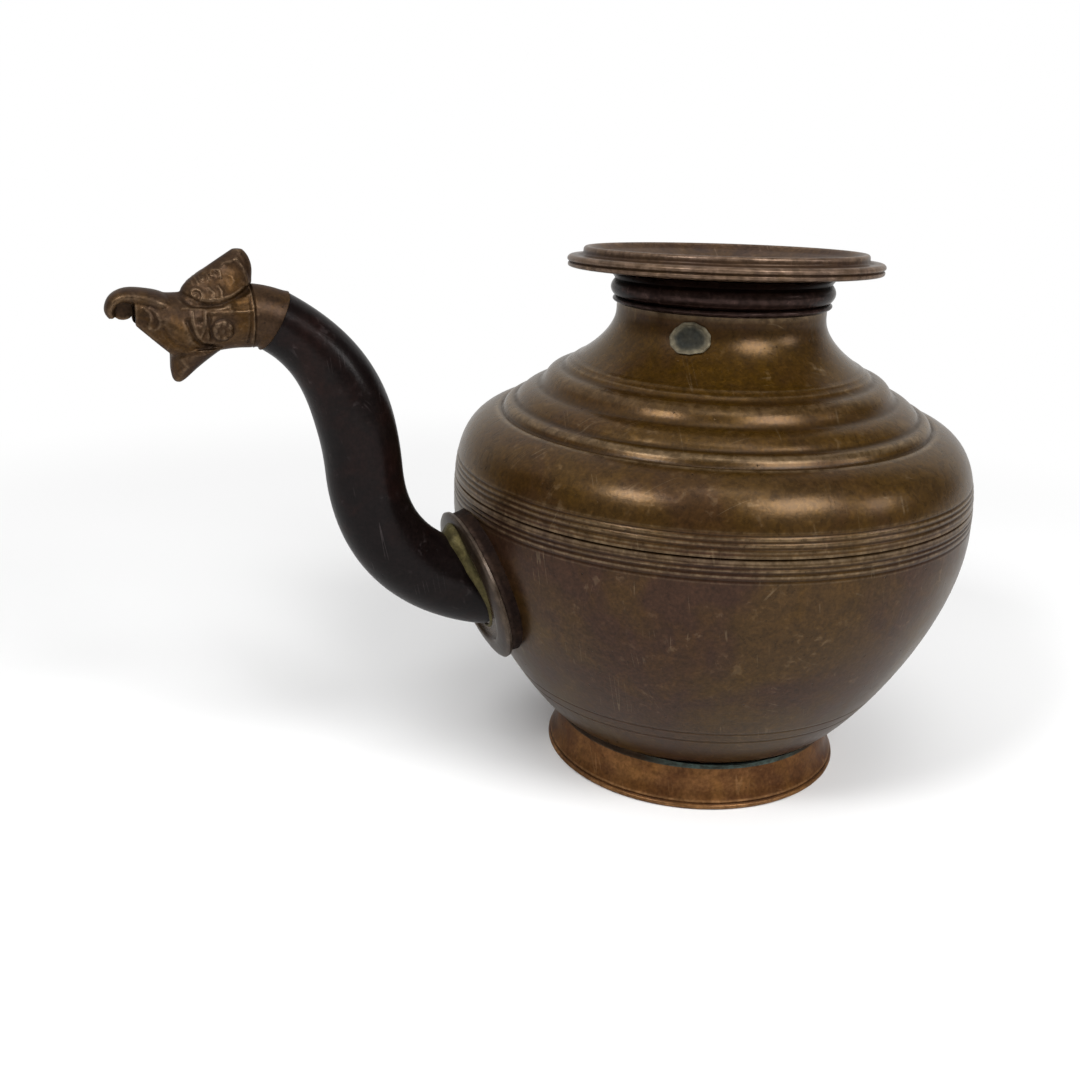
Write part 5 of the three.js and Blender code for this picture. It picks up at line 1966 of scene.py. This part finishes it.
@dataclass
class Studio:
    """The pale floor, the soft lamps and the camera at the photograph's place."""

    axis_x: float
    paper: Point = (0.3, 0.62)  # metres from the pot over which the floor turns white
    turns_white: Point = (-0.6, 0.1)  # metres behind the pot over which it does so at all
    ceiling: float = 0.13  # against the white behind the pot
    lobes: tuple[Lobe, ...] = (
        Lobe(80, 12, 0.5, 0.9, 0.12),
        Lobe(-112, 0, 0.6, 0.93, 0.15),
        Lobe(-140, 62, 0.6, 0.93, 0.9),
    )
    behind: Lobe = Lobe(156, 6, 0.4, 0.72, 1.0)
    lamps: tuple[Softbox, ...] = (
        Softbox("key_window", 13, 42, 1.3, 0.58, 0.48, 15.0),
        Softbox("left_window", -68, 44, 1.3, 0.32, 0.28, 29.0),
        Softbox("right_window", 48, 25, 1.3, 0.26, 0.28, 12.0),
        Softbox("overhead", -10, 68, 1.2, 0.45, 0.35, 3.5),
    )
    lit_share: float = 0.6  # of the way from the frame's middle to the axis, where the lamps look
    lit_up: float = 110.0  # and how high
    camera_away: float = 457.4  # from the pot's axis, along the floor
    camera_up: float = 243.0
    camera_azimuth: float = -32.0
    heading: float = -23.98
    pitch: float = 19.352
    roll: float = 1.7257
    focal_px: float = 1223.0
    photo_px: float = 1080.0
    floor_colour: str = "f4f4f4"

    def camera(self) -> None:
        """Put the camera where the photograph was taken from."""
        data = bpy.data.cameras.new("photo_camera")
        data.sensor_width = 36.0
        data.lens = self.focal_px / self.photo_px * data.sensor_width
        data.clip_start, data.clip_end = 0.02, 50.0
        made = placed("photo_camera", data)
        place = Vector((self.axis_x, 0, self.camera_up))
        place += bearing(self.camera_azimuth, 0) * self.camera_away
        turn = Matrix.Rotation(math.radians(self.heading), 4, "Z")
        turn @= Matrix.Rotation(math.radians(90 - self.pitch), 4, "X")
        turn @= Matrix.Rotation(math.radians(self.roll), 4, "Z")
        made.matrix_world = Matrix.Translation(place * MM) @ turn
        bpy.context.scene.camera = made

    def floor(self) -> None:
        """Lay a wide pale floor, which turns to plain white behind the pot's shadow.

        Near the pot it is lit as any matt paper. Further back, the rays of the camera and of the
        pot's reflections see it white, as they see the studio's white horizon.
        """
        form = bmesh.new()
        bmesh.ops.create_circle(form, cap_ends=True, radius=6.0, segments=96)
        mesh = bpy.data.meshes.new("floor")
        form.to_mesh(mesh)
        form.free()
        made = placed("floor", mesh)
        material = bpy.data.materials.new("matt_pale_paper")
        material.use_nodes = True
        tree = material.node_tree
        shader = tree.nodes["Principled BSDF"]
        shader.inputs["Base Color"].default_value = linear(self.floor_colour)
        shader.inputs["Roughness"].default_value = 0.9
        shader.inputs["Specular IOR Level"].default_value = 0.1
        place = add(tree, "ShaderNodeTexCoord").outputs["Object"]
        away = add(tree, "ShaderNodeVectorMath", {"operation": "LENGTH"}, {0: place}).outputs["Value"]
        inputs = {"Value": away, "From Min": self.paper[0], "From Max": self.paper[1]}
        settings = {"clamp": True, "interpolation_type": "SMOOTHSTEP"}
        share = add(tree, "ShaderNodeMapRange", settings, inputs).outputs[0]
        ahead = Matrix.Rotation(math.radians(self.heading), 3, "Z") @ Vector((0, 1, 0))
        settings = {"operation": "DOT_PRODUCT"}
        behind = add(tree, "ShaderNodeVectorMath", settings, {0: place, 1: ahead}).outputs["Value"]
        inputs = {"Value": behind, "From Min": self.turns_white[0], "From Max": self.turns_white[1]}
        behind = add(tree, "ShaderNodeMapRange", {"clamp": True}, inputs).outputs[0]
        share = add(tree, "ShaderNodeMath", {"operation": "MULTIPLY"}, {0: share, 1: behind}).outputs[0]
        rays = add(tree, "ShaderNodeLightPath").outputs
        seen = rays["Is Camera Ray"]
        for kind in ("Is Glossy Ray", "Is Transmission Ray"):
            settings = {"operation": "ADD", "use_clamp": True}
            seen = add(tree, "ShaderNodeMath", settings, {0: seen, 1: rays[kind]}).outputs[0]
        share = add(tree, "ShaderNodeMath", {"operation": "MULTIPLY"}, {0: share, 1: seen}).outputs[0]
        white = add(tree, "ShaderNodeEmission", {}, {"Color": (1, 1, 1, 1), "Strength": 1.0}).outputs[0]
        inputs = {0: share, 1: shader.outputs[0], 2: white}
        mixed = add(tree, "ShaderNodeMixShader", {}, inputs).outputs[0]
        tree.links.new(mixed, tree.nodes["Material Output"].inputs["Surface"])
        mesh.materials.append(material)

    def hang(self, lamp: Softbox) -> None:
        """Hang a soft rectangular lamp that looks at the pot.

        Args:
            lamp: its place, size and brightness.
        """
        data = bpy.data.lights.new(lamp.name, "AREA")
        data.shape, data.size, data.size_y = "RECTANGLE", lamp.wide, lamp.tall
        data.energy = lamp.bright * math.pi * lamp.wide * lamp.tall
        made = placed(lamp.name, data)
        back = bearing(lamp.azimuth, lamp.elevation)
        lit = Vector((self.axis_x * self.lit_share, 0, self.lit_up)) * MM
        made.location = lit + back * lamp.away
        made.rotation_mode = "QUATERNION"
        made.rotation_quaternion = (-back).to_track_quat("-Z", "Y")

    def world(self) -> None:
        """Surround the pot with dim walls, and with plain white where the camera looks."""
        world = bpy.data.worlds.new("studio")
        world.use_nodes = True
        bpy.context.scene.world = world
        tree = world.node_tree
        direction = add(tree, "ShaderNodeTexCoord").outputs["Generated"]
        facing = []
        for lobe in (*self.lobes, self.behind):
            settings = {"operation": "DOT_PRODUCT"}
            inputs = {0: direction, 1: bearing(lobe.azimuth, lobe.elevation)}
            cosine = add(tree, "ShaderNodeVectorMath", settings, inputs).outputs["Value"]
            settings = {"clamp": True, "interpolation_type": "SMOOTHSTEP"}
            inputs = {"Value": cosine, "From Min": lobe.edge, "From Max": lobe.full}
            facing.append(add(tree, "ShaderNodeMapRange", settings, inputs).outputs[0])
        colour = (self.ceiling, self.ceiling, self.ceiling, 1.0)
        for lobe, share in zip(self.lobes, facing):
            inputs = {0: share, 6: colour, 7: (lobe.bright, lobe.bright, lobe.bright, 1.0)}
            colour = add(tree, "ShaderNodeMix", {"data_type": "RGBA"}, inputs).outputs[2]
        rays = add(tree, "ShaderNodeLightPath").outputs
        seen = rays["Is Camera Ray"]
        for kind in ("Is Glossy Ray", "Is Transmission Ray"):
            settings = {"operation": "MULTIPLY_ADD", "use_clamp": True}
            inputs = {0: rays[kind], 1: facing[-1], 2: seen}
            seen = add(tree, "ShaderNodeMath", settings, inputs).outputs[0]
        inputs = {0: seen, 6: colour, 7: (1, 1, 1, 1)}
        colour = add(tree, "ShaderNodeMix", {"data_type": "RGBA"}, inputs).outputs[2]
        tree.links.new(colour, tree.nodes["Background"].inputs["Color"])

    def build(self) -> None:
        """Set up the whole studio."""
        self.floor()
        self.world()
        for lamp in self.lamps:
            self.hang(lamp)
        self.camera()
        bpy.context.scene.view_settings.view_transform = "Standard"


def main() -> None:
    """Load the frame, build every sub-assembly and set up the studio."""
    logging.basicConfig(level=logging.INFO, format="%(name)s: %(message)s")
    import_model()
    bench = Bench.from_frame()
    body = Body()
    boss = Boss(body)
    spout = Spout(boss)
    bore = boss.bore(bench)
    body.build(bench, bore)
    bpy.data.objects.remove(bore)
    Foot(body).build(bench)
    Mouth(body).build(bench)
    boss.build(bench)
    spout.build(bench)
    BeastHead(spout.rear).build(bench)
    Seal(body).build(bench)
    Studio(bench.axis_x).build()
    LOG.info("%d pieces made", bench.made)


if __name__ == "__main__":
    main()
